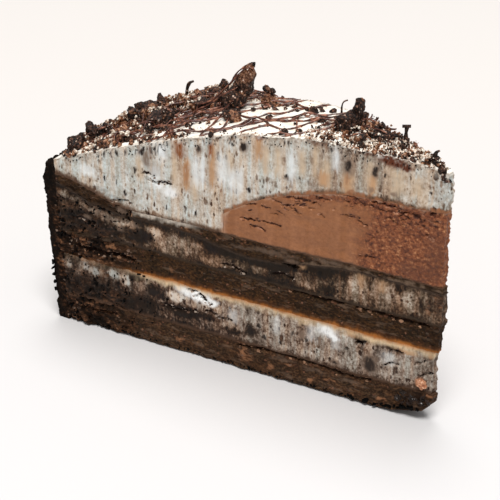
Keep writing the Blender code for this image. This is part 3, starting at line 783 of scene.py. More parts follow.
def outward_of_cut(skin):
    near, far = (face.out[skin.i, skin.j] for face in skin.faces)
    near, far = near * (1 - skin.far_share), far * skin.far_share
    return np.stack([(near + far) * math.sin(HALF), (far - near) * math.cos(HALF), 0 * near], axis=-1)


def bend_into_slice(skin, tip_out, worn=0.0):
    """Places the skin's points in the slice, with its blunt and nicked point."""
    at_tip = fade(TIP_START, TIP_START + 7, skin.s)
    s = skin.s + worn * (1 - skin.share) ** 2 * at_tip
    points = place(leaned(s, skin.z), skin.side * HALF, skin.z) + outward_of_cut(skin)
    nicks = gradient_noise(points / (3, 3, RELIEF_HEIGHT), 71) * TIP_NICKS
    nicks += 0.3 * layered_noise(points / 1.3, 72, 2) + 0.45 * gradient_noise(points / 2.4, 73)
    points[:, 0] += at_tip * (tip_out + nicks)
    return points


def add_mesh(name, points, faces, look, slot, attributes=None, crease=None):
    """A piece of the cake from points in millimetres, riding on the cake's one body."""
    mesh = bpy.data.meshes.new(name)
    mesh.from_pydata((np.asarray(points) * MM).tolist(), [], [list(map(int, face)) for face in faces])
    for key, values in (attributes or {}).items():
        kind, field = ("FLOAT_COLOR", "color") if values.ndim == 2 else ("FLOAT", "value")
        mesh.attributes.new(key, kind, "POINT").data.foreach_set(field, values.astype(np.float32).ravel())
    mesh.shade_smooth()
    if crease:
        mesh.set_sharp_from_angle(angle=math.radians(crease))
    mesh.materials.append(look)
    obj = bpy.data.objects.new(name, mesh)
    bpy.context.scene.collection.objects.link(obj)
    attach(obj, "root")
    return obj


# Materials

class Look:
    """A material in the making, with short names for its shader nodes. Lengths are in millimetres."""

    def __init__(self, name):
        self.material = bpy.data.materials.new(name)
        self.material.use_nodes = True
        self.tree = self.material.node_tree
        self.shader = self.tree.nodes["Principled BSDF"]
        self.here = self.vector("MULTIPLY", self.node("ShaderNodeTexCoord").outputs["Object"], (1 / MM,) * 3)

    def node(self, kind, **settings):
        made = self.tree.nodes.new(kind)
        for key, value in settings.items():
            setattr(made, key, value)
        return made

    def plug(self, socket, value):
        if isinstance(value, bpy.types.NodeSocket):
            self.tree.links.new(value, socket)
        elif isinstance(value, tuple) and socket.type == "RGBA":
            socket.default_value = (*value[:3], 1)
        else:
            socket.default_value = value

    def filled(self, node, values, output=0):
        for key, value in values.items():
            self.plug(node.inputs[key], value)
        return node.outputs[output]

    def vector(self, operation, first, second):
        return self.filled(self.node("ShaderNodeVectorMath", operation=operation), {0: first, 1: second})

    def math(self, operation, first, second, clamp=True):
        made = self.node("ShaderNodeMath", operation=operation, use_clamp=clamp)
        return self.filled(made, {0: first, 1: second})

    def mix(self, share, first, second, blend="MIX"):
        made = self.node("ShaderNodeMix", data_type="RGBA", blend_type=blend)
        return self.filled(made, {0: share, 6: first, 7: second}, 2)

    def rise(self, value, low, high, start=0.0, end=1.0):
        made = self.node("ShaderNodeMapRange", interpolation_type="SMOOTHSTEP")
        return self.filled(made, {0: value, 1: low, 2: high, 3: start, 4: end})

    def scaled(self, lengths):
        return self.vector("DIVIDE", self.here, tuple(lengths))

    def noise(self, lengths, seed, detail=2.0, roughness=0.55):
        made = self.node("ShaderNodeTexNoise", noise_dimensions="4D")
        values = {"Vector": self.scaled(lengths), "W": seed * 7.3, "Scale": 1.0, "Detail": detail}
        return self.filled(made, {**values, "Roughness": roughness})

    def dots(self, lengths, ragged, seed):
        """Distance to the nearest of many dots, and two numbers of that dot's own."""
        where = self.vector("ADD", self.scaled(lengths), (3.1 * seed, 1.7 * seed, 2.3 * seed))
        stir = self.node("ShaderNodeTexNoise", noise_dimensions="3D")
        stirred = self.filled(stir, {"Vector": where, "Scale": 2.6, "Detail": 2.0}, 1)
        push = self.node("ShaderNodeVectorMath", operation="MULTIPLY_ADD")
        where = self.filled(push, {0: stirred, 1: (ragged,) * 3, 2: where})
        made = self.node("ShaderNodeTexVoronoi", voronoi_dimensions="3D")
        self.filled(made, {"Vector": where, "Scale": 1.0})
        split = self.node("ShaderNodeSeparateColor")
        self.plug(split.inputs[0], made.outputs["Color"])
        return made.outputs["Distance"], split.outputs[0], split.outputs[1]

    def ramp(self, value, *stops):
        made = self.node("ShaderNodeValToRGB")
        elements = made.color_ramp.elements
        while len(elements) < len(stops):
            elements.new(0.5)
        for element, (position, colour) in zip(elements, stops):
            element.position = position
            element.color = (*colour[:3], 1)
        return self.filled(made, {0: value})

    def attribute(self, name):
        made = self.node("ShaderNodeAttribute", attribute_name=name)
        return made.outputs["Color"], made.outputs["Fac"], made.outputs["Alpha"]

    def specks(self, colour, lengths, size, share, tones, seed, ragged, mask=None, soft=0.06, blend="MIX"):
        """Lays specks of uneven size over a colour; share is how many of the dots are specks."""
        distance, number, tone = self.dots(lengths, ragged, seed)
        reach = self.rise(number, 1 - share, 1.0, 0.0, size)
        inside = self.rise(self.math("SUBTRACT", reach, distance), 0.0, soft)
        if mask is not None:
            inside = self.math("MULTIPLY", inside, mask)
        return self.mix(inside, colour, self.ramp(tone, (0.2, tones[0]), (0.9, tones[1])), blend)

    def finish(self, colour, roughness, height, distance, strength, specular):
        bump = self.node("ShaderNodeBump")
        self.filled(bump, {"Strength": strength, "Distance": distance * MM, "Height": height})
        self.plug(self.shader.inputs["Base Color"], colour)
        self.plug(self.shader.inputs["Roughness"], roughness)
        self.plug(self.shader.inputs["Normal"], bump.outputs[0])
        self.shader.inputs["Specular IOR Level"].default_value = specular
        return self.material


def painted(look, colour, chips_and_rim_highlights, gap=srgb(32, 15, 8)):
    """Lays the stains, the seams and the cracks of a cut face over a colour, with painted shade in the
    cracks.
    """
    streaky = look.noise((0.45, 0.45, 2.4), 11, 3)
    for kind in ("stain", "seam"):
        paint, _, amount = look.attribute(kind)
        amount = look.math("MULTIPLY", amount, look.rise(streaky, 0.25, 0.6, 0.7, 1.2))
        colour = look.mix(amount, colour, paint)
    crack = look.attribute("crack")[1]
    # Light chips along the cracks: partly crumbs, partly painted highlights on the crack rims
    colour = look.specks(colour, (1.1, 1.1, 0.7), 0.62, 0.75, chips_and_rim_highlights, 27.0, 0.5, look.rise(crack, 0.15, 0.45))
    # The dark middle of each crack, in the colour gap, is painted shade, frayed by noise
    worn = look.math("MULTIPLY", look.noise((0.8, 0.8, 0.5), 12, 3, 0.7), 0.8)
    core = look.rise(look.math("SUBTRACT", crack, worn), 0.34, 0.5)
    return look.mix(core, colour, gap)


def crumbly(look, colour):
    """Lays broken, warm brown crumbs with black gaps of painted shade over a colour, where the piece is warm.
    """
    clump = look.noise((1.5, 1.5, 0.8), 7, 4, 0.68)
    wide = look.noise((7, 7, 2.6), 8, 3, 0.6)
    ruddy = look.attribute("ruddy")[1]
    lift = look.math("MULTIPLY", look.math("SUBTRACT", wide, 0.5, False), 0.8, False)
    lift = look.math("ADD", lift, look.math("MULTIPLY", ruddy, 0.23), False)
    broken = look.ramp(look.math("ADD", clump, lift), (0.38, srgb(9, 5, 3)), (0.5, srgb(36, 22, 13)),
                       (0.6, srgb(75, 49, 33)), (0.76, srgb(146, 102, 72)))
    flecks = (srgb(88, 68, 56), srgb(158, 134, 118))
    greyish = look.rise(look.noise((8, 8, 5), 10, 2), 0.47, 0.6, 0.1, 1.0)
    broken = look.specks(broken, (1.2, 1.2, 0.8), 0.56, 0.42, flecks, 33.0, 0.6, greyish)
    return look.mix(look.math("MAXIMUM", look.attribute("warm")[1], ruddy), colour, broken)


def ramp_value(look, parts, contrast, shift):
    """Adds up noises, each with a weight, and lowers the sum by how much is smeared over."""
    total = look.math("MULTIPLY", shift, -0.30, clamp=False)
    for value, weight in parts:
        total = look.math("ADD", total, look.math("MULTIPLY", value, weight), clamp=False)
    return look.math("ADD", look.math("MULTIPLY", total, contrast, clamp=False), 0.5 - 0.5 * contrast)


def mousse_look(name, tones, specks, contrast, drawn_length, lid_tones=None):
    """Whipped cream with cookie in it: from cake smeared over it to clean cream, drawn down by the knife."""
    look = Look(name)
    bands = look.noise((1.6, 1.6, 4 * drawn_length), 1, 2)
    drawn = look.noise((0.9, 0.9, drawn_length), 2, 3, 0.6)
    cloud = look.noise((2.6, 2.6, 2.8), 5, 4, 0.66)
    grain = look.noise((0.62, 0.62, 0.8), 3, 3, 0.7)
    parts = ((bands, 0.14), (drawn, 0.22), (cloud, 0.30), (grain, 0.34))
    value = ramp_value(look, parts, contrast, look.attribute("smear")[1])
    colour = look.ramp(value, *tones)
    hue = look.ramp(look.noise((1.9, 1.9, 30), 8, 2), (0.38, srgb(240, 250, 252)), (0.5, srgb(250, 251, 250)),
                    (0.62, srgb(255, 242, 228)))
    colour = look.mix(1.0, colour, hue, "MULTIPLY")
    many = look.rise(look.noise((8, 8, 11), 9, 2), 0.4, 0.58, 0.3, 1.0)
    for lengths, size, share, seed in specks:
        colour = look.specks(colour, lengths, size, share, SPECK_TONES, seed, 0.45, many, 0.16, "MULTIPLY")
    colour = crumbly(look, colour)
    colour = painted(look, colour, (srgb(100, 76, 62), srgb(188, 170, 154)))
    if lid_tones:
        patch = look.ramp(look.noise((2.0, 2.0, 2.0), 6, 4), (0.35, lid_tones[0]), (0.58, lid_tones[1]))
        crumbs = look.attribute("dust")[1]
        dark = (srgb(56, 40, 33), srgb(120, 82, 62))
        for length, share, seed, rise in ((1.1, 0.8, 23.0, (0.3, 0.9)), (0.6, 0.5, 24.0, (0.0, 0.6, 0.15))):
            here = look.rise(crumbs, *rise)
            patch = look.specks(patch, (length,) * 3, 0.5, share, dark, seed, 0.6, here)
        colour = look.mix(look.attribute("lid")[1], colour, patch)
    roughness = look.rise(grain, 0.2, 0.8, 0.45, 0.7)
    return look.finish(colour, roughness, look.math("ADD", grain, drawn), 0.16, 0.6, 0.14)


def cake_look(name, tones):
    """Dark chocolate cake, moist and fine grained, with reddish crumbs."""
    look = Look(name)
    grain = look.noise((0.8, 0.8, 0.5), 1, 4, 0.65)
    patch = look.noise((6, 6, 3), 2, 3, 0.6)
    colour = look.ramp(grain, *tones)
    tint = look.ramp(patch, (0.38, srgb(255, 230, 200)), (0.6, srgb(216, 208, 190)))
    colour = look.mix(1.0, colour, tint, "MULTIPLY")
    smudge = look.rise(look.noise((4.5, 4.5, 1.1), 9, 3, 0.65), 0.53, 0.66, 0.0, 0.4)
    colour = look.mix(smudge, colour, srgb(120, 98, 82))
    flecks = (srgb(56, 33, 23), srgb(124, 84, 64))
    colour = look.specks(colour, (1.0, 1.0, 0.8), 0.42, 0.4, flecks, 24.0, 0.6)
    colour = crumbly(look, colour)
    colour = painted(look, colour, (srgb(84, 54, 38), srgb(156, 118, 92)))
    return look.finish(colour, look.rise(grain, 0.3, 0.7, 0.5, 0.8), grain, 0.35, 0.8, 0.08)


def chocolate_look():
    """Chocolate mousse: cut smooth in the middle of the cake, torn and grainy elsewhere."""
    look = Look("chocolate_mousse")
    wide = look.noise((2.4, 2.4, 30), 1, 2)
    cloud = look.noise((4, 4, 4), 4, 3)
    grain = look.noise((0.9, 0.9, 0.75), 2, 4, 0.7)
    colour = look.ramp(wide, (0.38, srgb(154, 101, 64)), (0.6, srgb(166, 112, 76)))
    colour = look.mix(look.rise(cloud, 0.35, 0.7, 0, 0.5), colour, srgb(146, 94, 60))
    fine = look.noise((0.8, 0.8, 0.6), 5, 3, 0.7)
    tint = look.ramp(fine, (0.36, srgb(226, 220, 214)), (0.62, srgb(255, 252, 248)))
    colour = look.mix(1.0, colour, tint, "MULTIPLY")
    torn = look.ramp(grain, (0.34, srgb(58, 25, 11)), (0.44, srgb(112, 60, 35)), (0.56, srgb(146, 86, 52)),
                     (0.68, srgb(200, 142, 98)))
    torn_here = look.attribute("grain")[1]
    colour = look.mix(torn_here, colour, torn)
    # The last colour is the painted shade in the middle of the cracks
    colour = painted(look, colour, (srgb(96, 50, 30), srgb(190, 136, 104)), srgb(70, 33, 18))
    height = look.math("MULTIPLY", grain, torn_here)
    return look.finish(colour, look.rise(grain, 0.3, 0.7, 0.45, 0.62), height, 0.45, 0.8, 0.3)


def crust_look():
    """Nearly black biscuit crumb, pressed together."""
    look = Look("crust_crumb")
    grain = look.noise((0.8, 0.8, 0.8), 1, 4, 0.65)
    colour = look.ramp(grain, (0.32, srgb(8, 5, 3)), (0.52, srgb(20, 13, 9)), (0.72, srgb(50, 35, 25)))
    colour = look.specks(colour, (1.4, 1.4, 1.4), 0.36, 0.25, (srgb(48, 30, 20), srgb(98, 68, 48)), 25.0, 0.6)
    colour = crumbly(look, colour)
    return look.finish(colour, look.rise(grain, 0.3, 0.7, 0.6, 0.85), grain, 0.35, 0.8, 0.06)


def cookie_look(name, brown_from):
    """Broken chocolate cookie, almost black with some browner parts; the browner, the lower brown_from is."""
    look = Look(name)
    grain = look.noise((0.6, 0.6, 0.6), 1, 4, 0.65)
    patch = look.noise((2.6, 2.6, 2.6), 2, 2)
    colour = look.ramp(grain, (0.38, srgb(10, 6, 4)), (0.53, srgb(42, 26, 19)), (0.67, srgb(130, 90, 72)))
    # The browner tones reach up to a light one that is partly painted highlight
    browner = look.ramp(grain, (0.36, srgb(46, 24, 13)), (0.5, srgb(124, 75, 47)),
                        (0.66, srgb(216, 172, 138)))
    brown = look.math("ADD", look.rise(patch, brown_from, brown_from + 0.1), look.attribute("brown")[1])
    colour = look.mix(brown, colour, browner)
    # The glints are painted highlights, and stand for light sugar bits in the cookie too
    glints = (srgb(150, 112, 94), srgb(240, 218, 200))
    colour = look.specks(colour, (0.8, 0.8, 0.8), 0.42, 0.3, glints, 26.0, 0.5)
    return look.finish(colour, look.rise(grain, 0.3, 0.7, 0.26, 0.6), grain, 0.4, 1.0, 0.2)


def grained_look(name, length, tones, roughness, finish, glints=None):
    """A material of one grain; finish holds the depth and the strength of its bumps, and its shine."""
    look = Look(name)
    grain = look.noise((length,) * 3, 1, 3)
    colour = look.ramp(grain, *tones)
    # Glints are painted highlights
    if glints:
        colour = look.specks(colour, (length,) * 3, 0.42, 0.34, glints, 28.0, 0.5)
    return look.finish(colour, look.rise(grain, 0.3, 0.7, *roughness), grain, *finish)


def drizzle_look():
    """Set chocolate, smooth and a little shiny."""
    tones = ((0.36, srgb(58, 28, 19)), (0.5, srgb(92, 50, 36)), (0.64, srgb(166, 112, 88)))
    return grained_look("drizzled_chocolate", 1.6, tones, (0.26, 0.4), (0.2, 0.5, 0.5))


def wet_look():
    """Sticky black cookie with small painted reflections."""
    tones = ((0.35, srgb(12, 8, 6)), (0.6, srgb(54, 38, 30)))
    glints = (srgb(140, 130, 128), srgb(235, 232, 230))
    return grained_look("wet_cookie", 0.7, tones, (0.2, 0.45), (0.6, 1.0, 0.25), glints)


def biscuit_look():
    """Pale tan biscuit crumb."""
    tones = ((0.35, srgb(150, 92, 62)), (0.52, srgb(206, 146, 110)), (0.66, srgb(238, 198, 168)))
    return grained_look("tan_biscuit", 0.6, tones, (0.5, 0.8), (0.3, 0.7, 0.3))


def granule_look():
    """Crumbs of cream."""
    tones = ((0.38, srgb(112, 78, 60)), (0.5, srgb(212, 190, 168)), (0.62, srgb(250, 244, 232)))
    return grained_look("cream_granules", 0.7, tones, (0.5, 0.7), (0.2, 0.5, 0.35))


# Building the layers

CAKE_TONES = ((0.34, srgb(28, 18, 10)), (0.5, srgb(54, 40, 28)), (0.64, srgb(86, 65, 47)))
# A lighter copy of the cake's tones, for the lowest cake layer and the crumbs on the sides:
# painted light that brightens the foot, which the lamps leave darker
LOW_CAKE_TONES = ((0.34, srgb(38, 26, 18)), (0.5, srgb(70, 53, 42)), (0.64, srgb(108, 84, 67)))
CREAM_TONES = (
    (0.20, srgb(80, 62, 50)), (0.34, srgb(158, 138, 122)), (0.44, srgb(198, 186, 173)),
    (0.54, srgb(218, 214, 207)), (0.68, srgb(242, 244, 244)),
)
STREAKED_TONES = (
    (0.20, srgb(32, 21, 12)), (0.33, srgb(68, 48, 33)), (0.43, srgb(116, 92, 73)),
    (0.53, srgb(160, 135, 116)), (0.66, srgb(206, 186, 168)),
)
LOWER_TONES = (
    (0.20, srgb(34, 23, 15)), (0.33, srgb(84, 64, 52)), (0.43, srgb(142, 122, 108)),
    (0.53, srgb(180, 164, 150)), (0.66, srgb(226, 216, 206)),
)
SPECK_TONES = (srgb(98, 74, 62), srgb(200, 180, 166))
LID_TONES = (srgb(236, 220, 202), srgb(251, 247, 238))


def layer_skin(floor, ceiling, height_steps, side_steps=HIDDEN_SIDE_STEPS, outer=INNER_WALL):
    stops = S_STOPS[S_STOPS < outer + EDGE_STEP / 2]
    sides = np.linspace(-1, 1, side_steps + 1)
    return Skin(stops, sides, np.linspace(0, 1, height_steps + 1), floor, ceiling)


def carve_and_paint(skin, node, relief, depth, seams, smear=None):
    """Relief, marks, cracks and seams on both cut faces of a layer."""
    for face, seed in zip(skin.faces, (0, 5)):
        near = face.side < 0
        marks = MARKS.get(node, ())
        cracks = CRACKS.get(node, ())
        face.out += cut_face_relief(face.s, face.z, face.side, depth) + relief(face)
        if smear:
            face.smear = smear(face)
        face.mark(marks if near else moved_marks(marks, seed))
        face.split(cracks if near else moved_cracks(cracks, seed), CRACK_WIDTHS.get(node, 1.0))
        for colour, at_floor, reach in seams:
            face.join(colour, face.above_floor if at_floor else face.below_ceiling, reach)


def add_layer(skin, node, ending, look, slot, points, kinds=(), crease=62, **more):
    """A layer's mesh with all that is painted on it, in the place of its solid."""
    for face in skin.faces:
        face.warm = np.clip(broken_zone(face), 0, 1) * BROKEN_SHARE.get(node, FULLY_BROKEN)
    paint = {kind: skin.across(kind) for kind in ("stain", "seam", "crack", "warm", "ruddy", *kinds)}
    obj = add_mesh(node + ending, points, skin.quads, look, slot, {**paint, **more}, crease)
    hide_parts(node)


def foot_lift(s):
    """How far the foot of the cut faces is worn off: a little, and more towards the point."""
    return FOOT_LIFT[0] + FOOT_LIFT[1] * fade(TIP_START, 21, s)


def hanging_cream(face):
    """Where the upper cream is drawn down over the cake below it."""
    return smooth(74, 84, face.wobble_s) * fade(94, 102, face.wobble_s)


def cake_layer(node, look, floor, ceiling, steps, seams, tip_out=0.0, worn=0.0):
    skin = layer_skin(floor, ceiling, steps)
    carve_and_paint(skin, node, crumb_relief, 0.9, seams)
    if node == "cake_top":
        for face in skin.faces:
            face.join("mottle", face.above_floor, 1.0, 0.5 * fade(42, 50, face.wobble_s), 1.4)
            face.join("creamy", face.below_ceiling, 1.5, hanging_cream(face), 0.5)
    points = bend_into_slice(skin, tip_out, worn)
    if worn:
        points[:, 2] += foot_lift(skin.s) * (1 - skin.share)
    add_layer(skin, node, "_crumb", look, "cake", points)


def smear_middle(face):
    """How much cake is smeared over the middle mousse, from 0 for clean to 1 for covered."""
    along = 0.22 + 0.26 * smooth(36, 46, face.s) * fade(70, 84, face.s) + 0.16 * smooth(90, 106, face.s)
    hanging = 0.3 * smooth(24, 40, face.s) + 0.08
    return along + hanging * fade(0.3, 3.0, face.below_ceiling) + 0.15 * fade(0, 2.0, face.above_floor)


def smear_lower(face):
    low_part = fade(4, 9, face.above_floor)
    along = 0.08 + 0.26 * smooth(84, 112, face.s) + 0.3 * smooth(64, 84, face.s) * low_part
    return along + 0.25 * fade(0, 2.5, face.above_floor)


def smear_top(face):
    browner = 0.05 + 0.3 * smooth(10, 20, face.s) * fade(34, 50, face.s)
    return browner + 0.5 * fade(0.2, 1.6, face.above_floor) + 0.2 * fade(0, 2.2, face.below_ceiling)


def streaked_layer(node, look, floor, ceiling, steps, smear, seams, tip_out):
    skin = layer_skin(floor, ceiling, steps)
    carve_and_paint(skin, node, cream_relief, 0.5, seams, smear)
    add_layer(skin, node, "_cream", look, "cream", bend_into_slice(skin, tip_out), ("smear",))


def short_cracks(rng, count):
    """Short tears in the chocolate mousse below its upper edge, more of them towards the point."""
    found = []
    for _ in range(count):
        s = 8 + 54 * rng.random() ** 1.3
        z = chocolate_top(s, 0.0) - 0.6 - 5.5 * rng.random() ** 1.5
        length = rng.uniform(0.8, 3.2)
        found.append(((s, float(z)), (s - length, float(z) - length * rng.uniform(-0.35, 0.25))))
    return found


def chocolate_layer(look):
    node = "mousse_chocolate"
    skin = layer_skin(cake_top_top, chocolate_top, 52, outer=CHOCOLATE_RADIUS)
    carve_and_paint(skin, node, chocolate_relief, 0.5, (("plain", True, 0.5),))
    for face in skin.faces:
        face.split(short_cracks(random.Random(face.side), 70), 0.5)
        face.grain = chocolate_grain(face)
        face.join("rich", CHOCOLATE_RADIUS - face.s, 1.6, 0.8)
        face.join("milk", face.below_ceiling, 0.5, 0.35, 1.6)
    add_layer(skin, node, "_torn", look, "chocolate", bend_into_slice(skin, 0.4), ("grain",))


def top_relief(points):
    """The upper surface: soft lumps, rougher near the point."""
    s, _ = polar(points[:, 0], points[:, 1])
    rough = fade(36, 52, s)
    broad = 0.22 * layered_noise(points / 3.5, 75, 2)
    return broad + (0.12 + 0.5 * rough) * layered_noise(points / 1.1, 77, 2)


def topping_share(s):
    """How thickly crumbs lie: most near the rim and the point, few in between."""
    near_rim = smooth(72, 98, s)
    near_tip = 0.75 * fade(34, 48, s)
    return 0.16 + 0.84 * np.maximum(near_rim, near_tip)


def lid_share(skin, points):
    """How white the cream is: white on top, and unevenly so along the edges of the cut."""
    below = (skin.high - skin.low)[skin.i, skin.k] * (1 - skin.share)
    beside = skin.s * np.sin(HALF * (1 - np.abs(skin.side)))
    uneven = 1.4 * layered_noise(points / 1.3, 79, 2)
    on_top = 1 - fade(0, 1.6, beside) * np.clip(0.5 + uneven, 0, 1)
    on_side = fade(0, 1.5, below) * np.clip(0.1 + uneven, 0, 1)
    return np.where(skin.top, on_top, on_side)


def hanging_dashes(rng, count):
    """Thin dark dashes of topping that hang over the upper edge of the cut, most near the crust."""
    dashes = []
    for _ in range(count):
        s = rng.choice((rng.uniform(84, 112), rng.uniform(84, 112), rng.uniform(12, 84)))
        length = rng.uniform(0.4, 1.3)
        z = float(dome(s, 0.0)) - length - rng.uniform(0.0, 1.6)
        dashes.append((s, z, rng.uniform(0.16, 0.34), length))
    return dashes


def top_cream(look):
    node = "mousse_top"
    skin = layer_skin(cream_floor, dome, 62, TOP_SIDE_STEPS)
    carve_and_paint(skin, node, cream_relief, 0.5, (), smear_top)
    for face in skin.faces:
        on_cake = smooth(CHOCOLATE_RADIUS - 0.8, CHOCOLATE_RADIUS + 0.8, face.s)
        face.join("cocoa", face.above_floor, 1.2, 0.9 * (1 - on_cake), 1.2)
        face.join("cream", face.above_floor, 1.7, on_cake * (1 - hanging_cream(face)))
        beside = np.where(face.s > CHOCOLATE_RADIUS, face.s - CHOCOLATE_RADIUS, 9.0)
        below = smooth(-0.6, 0.6, CHOCOLATE_HEIGHT - CHOCOLATE_DROP - face.z)
        face.join("rich", beside, 1.3, 0.8 * below)
        face.mark((("cookie", 0.8, hanging_dashes(random.Random(41 + face.side), 46)),))
        ragged_edge = fade(0, 1.6, face.below_ceiling)
        face.out += ragged_edge * (0.35 * face.noise((1.3, 1.3, 1.3), 46, 2) - 0.15)
    points = bend_into_slice(skin, 0.4)
    points[:, 2] += np.where(skin.top, top_relief(points), 0)
    dust = heap_share(skin.s, skin.side * HALF)
    lid = lid_share(skin, points)
    add_layer(skin, node, "_cream", look, "cream", points, ("smear",), 70, lid=lid, dust=dust)


def crust_wall(look):
    """The crust round the rim, rough outside, with a crumbled upper edge."""
    s_stops = spread(INNER_WALL, CAKE_RADIUS, FINE_STEP)
    side_stops = np.linspace(-1, 1, CRUST_STEPS[0] + 1)
    share_stops = np.linspace(0, 1, CRUST_STEPS[1] + 1)
    skin = Skin(s_stops, side_stops, share_stops, base, level_top(RIM_HEIGHT, CRUST_WAVES))
    for face in skin.faces:
        relief = cut_face_relief(face.s, face.z, face.side, 0.5)
        face.out += relief + 0.35 * face.noise((1.2, 1.2, 1.1), 47, 3)
        ragged = (face.s - INNER_WALL) / WALL + 0.35 * face.noise((1.6, 1.6, 1.6), 55, 2)
        face.warm = fade(0.25, 0.75, ragged) * fade(36, 44, face.z)
    outward = (skin.s - INNER_WALL) / WALL
    s = skin.s - CRUST_INSET * outward - CRUST_ROUNDING * smooth(0.9, 1.0, skin.share) * outward
    s = s + outward * EXTRA_TAPER * (2 * skin.z / RIM_HEIGHT - 1)
    points = place(s - wall_lean(skin.z), skin.side * HALF, skin.z) + outward_of_cut(skin)
    distance, _ = dot_distance(points / 1.5, 48)
    rough = 0.4 * layered_noise(points / 2.6, 49, 3) + 0.35 * (0.55 - distance)
    radial = np.stack([-np.cos(skin.side * HALF), np.sin(skin.side * HALF), 0 * skin.s], axis=-1)
    points += radial * (outward**2 * rough)[:, None]
    points[:, 2] += skin.share**12 * 0.9 * layered_noise(points / 1.6, 50, 2)
    obj = add_mesh("crust_wall_crumb", points, skin.quads, look, "crust", {"warm": skin.across("warm")}, 62)
    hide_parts("crust_wall")


# The ground that the toppings come to rest on

class Ground:
    """How high the cream and its toppings reach, over a grid of the plan."""

    CELL = 0.4
    EDGE = (-64.0, -35.0)
    CELLS = (320, 175)

    def __init__(self, chunk_nodes):
        x = self.EDGE[0] + self.CELL * (np.arange(self.CELLS[0]) + 0.5)
        y = self.EDGE[1] + self.CELL * (np.arange(self.CELLS[1]) + 0.5)
        self.x, self.y = np.meshgrid(x, y, indexing="ij")
        s, a = polar(self.x, self.y)
        self.cream = dome(np.clip(s, TIP_START, CAKE_RADIUS), np.clip(a, -HALF, HALF))
        self.height = self.cream.copy()
        for node in chunk_nodes:
            self.add_solid(node)

    def low(self, rise):
        """The same ground without what stands higher than the rise above the cream."""
        other = copy.copy(self)
        other.height = np.minimum(self.height, self.cream + rise)
        return other

    def add_solid(self, node):
        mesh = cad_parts[node].data
        tree = BVHTree.FromPolygons([v.co / MM for v in mesh.vertices], [p.vertices for p in mesh.polygons])
        low, high = (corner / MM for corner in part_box(node))
        inside = (self.x > low.x) & (self.x < high.x) & (self.y > low.y) & (self.y < high.y)
        for i, k in np.argwhere(inside):
            hit = tree.ray_cast(Vector((self.x[i, k], self.y[i, k], high.z + 1)), Vector((0, 0, -1)))[0]
            if hit:
                self.height[i, k] = max(self.height[i, k], hit.z)

    def cell(self, value, axis):
        index = ((np.asarray(value) - self.EDGE[axis]) / self.CELL).astype(int)
        return np.clip(index, 0, self.CELLS[axis] - 1)

    def at(self, x, y):
        return self.height[self.cell(x, 0), self.cell(y, 1)]

    def under(self, x, y, radius):
        """The cells under a ball, and how high the ball's side is over each."""
        low_x, high_x = self.cell((x - radius, x + radius), 0)
        low_y, high_y = self.cell((y - radius, y + radius), 1)
        part = (slice(low_x, high_x + 1), slice(low_y, high_y + 1))
        rest = radius**2 - (self.x[part] - x) ** 2 - (self.y[part] - y) ** 2
        return part, np.sqrt(np.clip(rest, 0, None))

    def rest(self, x, y, radius, sink=0.35):
        """The height of the middle of a lump that comes to rest here and is sunk in a little."""
        part, side = self.under(x, y, radius)
        held = (self.height[part] + side)[side > 0]
        if held.size == 0:
            return float(self.at(x, y)) + radius * (1 - sink)
        return float(np.percentile(held, 70)) - sink * radius

    def cover(self, x, y, z, radius, flatness=0.7):
        part, side = self.under(x, y, radius)
        self.height[part] = np.maximum(self.height[part], np.where(side > 0, z + flatness * side, -1e3))


def inside_slice(x, y, margin, start=2 * TIP_START):
    """Whether a place lies over the cream, at least the margin away from its edges in plan."""
    s, a = polar(x, y)
    return (start < s) & (s < FILLING_RADIUS - margin) & (s * np.sin(HALF - np.abs(a)) > margin)


def clear_of_chunks(x, y, reach):
    for s, a, width, depth, height in CHUNKS:
        px, py = plan(s, math.radians(a))
        if math.hypot(x - px, y - py) < 0.6 * max(width, depth) + 0.2 * height + 1.15 * reach:
            return False
    return True


def scatter_as_solids(seed, count, low, high):
    """The places and sizes of the toppings that are fused to the solid cream."""
    rng = random.Random(seed)
    drawn = sorted((low + (high - low) * rng.random() ** 2 for _ in range(count)), reverse=True)
    spots = []
    for size in drawn:
        for _ in range(200):
            s = CAKE_RADIUS * math.sqrt(rng.random())
            x, y = plan(s, rng.uniform(-HALF, HALF))
            free = all(math.hypot(x - u, y - v) > 0.8 * (size + other) for u, v, other in spots)
            clear = inside_slice(x, y, size + GAP) and clear_of_chunks(x, y, size)
            if free and clear and rng.random() < topping_share(s):
                spots.append((x, y, size))
                break
    return spots


# Loose pieces

def ball(subdivisions):
    bm = bmesh.new()
    bmesh.ops.create_icosphere(bm, subdivisions=subdivisions, radius=1)
    points = np.array([v.co for v in bm.verts])
    faces = np.array([[v.index for v in f.verts] for f in bm.faces])
    bm.free()
    return points, faces


BALLS = {level: ball(level) for level in (1, 2, 3, 4)}


def random_turns(rng, count):
    """Random rotations as matrices."""
    q = rng.normal(size=(count, 4))
    q /= np.linalg.norm(q, axis=1)[:, None]
    w, x, y, z = q.T
    return np.stack([
        np.stack([1 - 2 * (y * y + z * z), 2 * (x * y - z * w), 2 * (x * z + y * w)], axis=-1),
        np.stack([2 * (x * y + z * w), 1 - 2 * (x * x + z * z), 2 * (y * z - x * w)], axis=-1),
        np.stack([2 * (x * z - y * w), 2 * (y * z + x * w), 1 - 2 * (x * x + y * y)], axis=-1),
    ], axis=1)


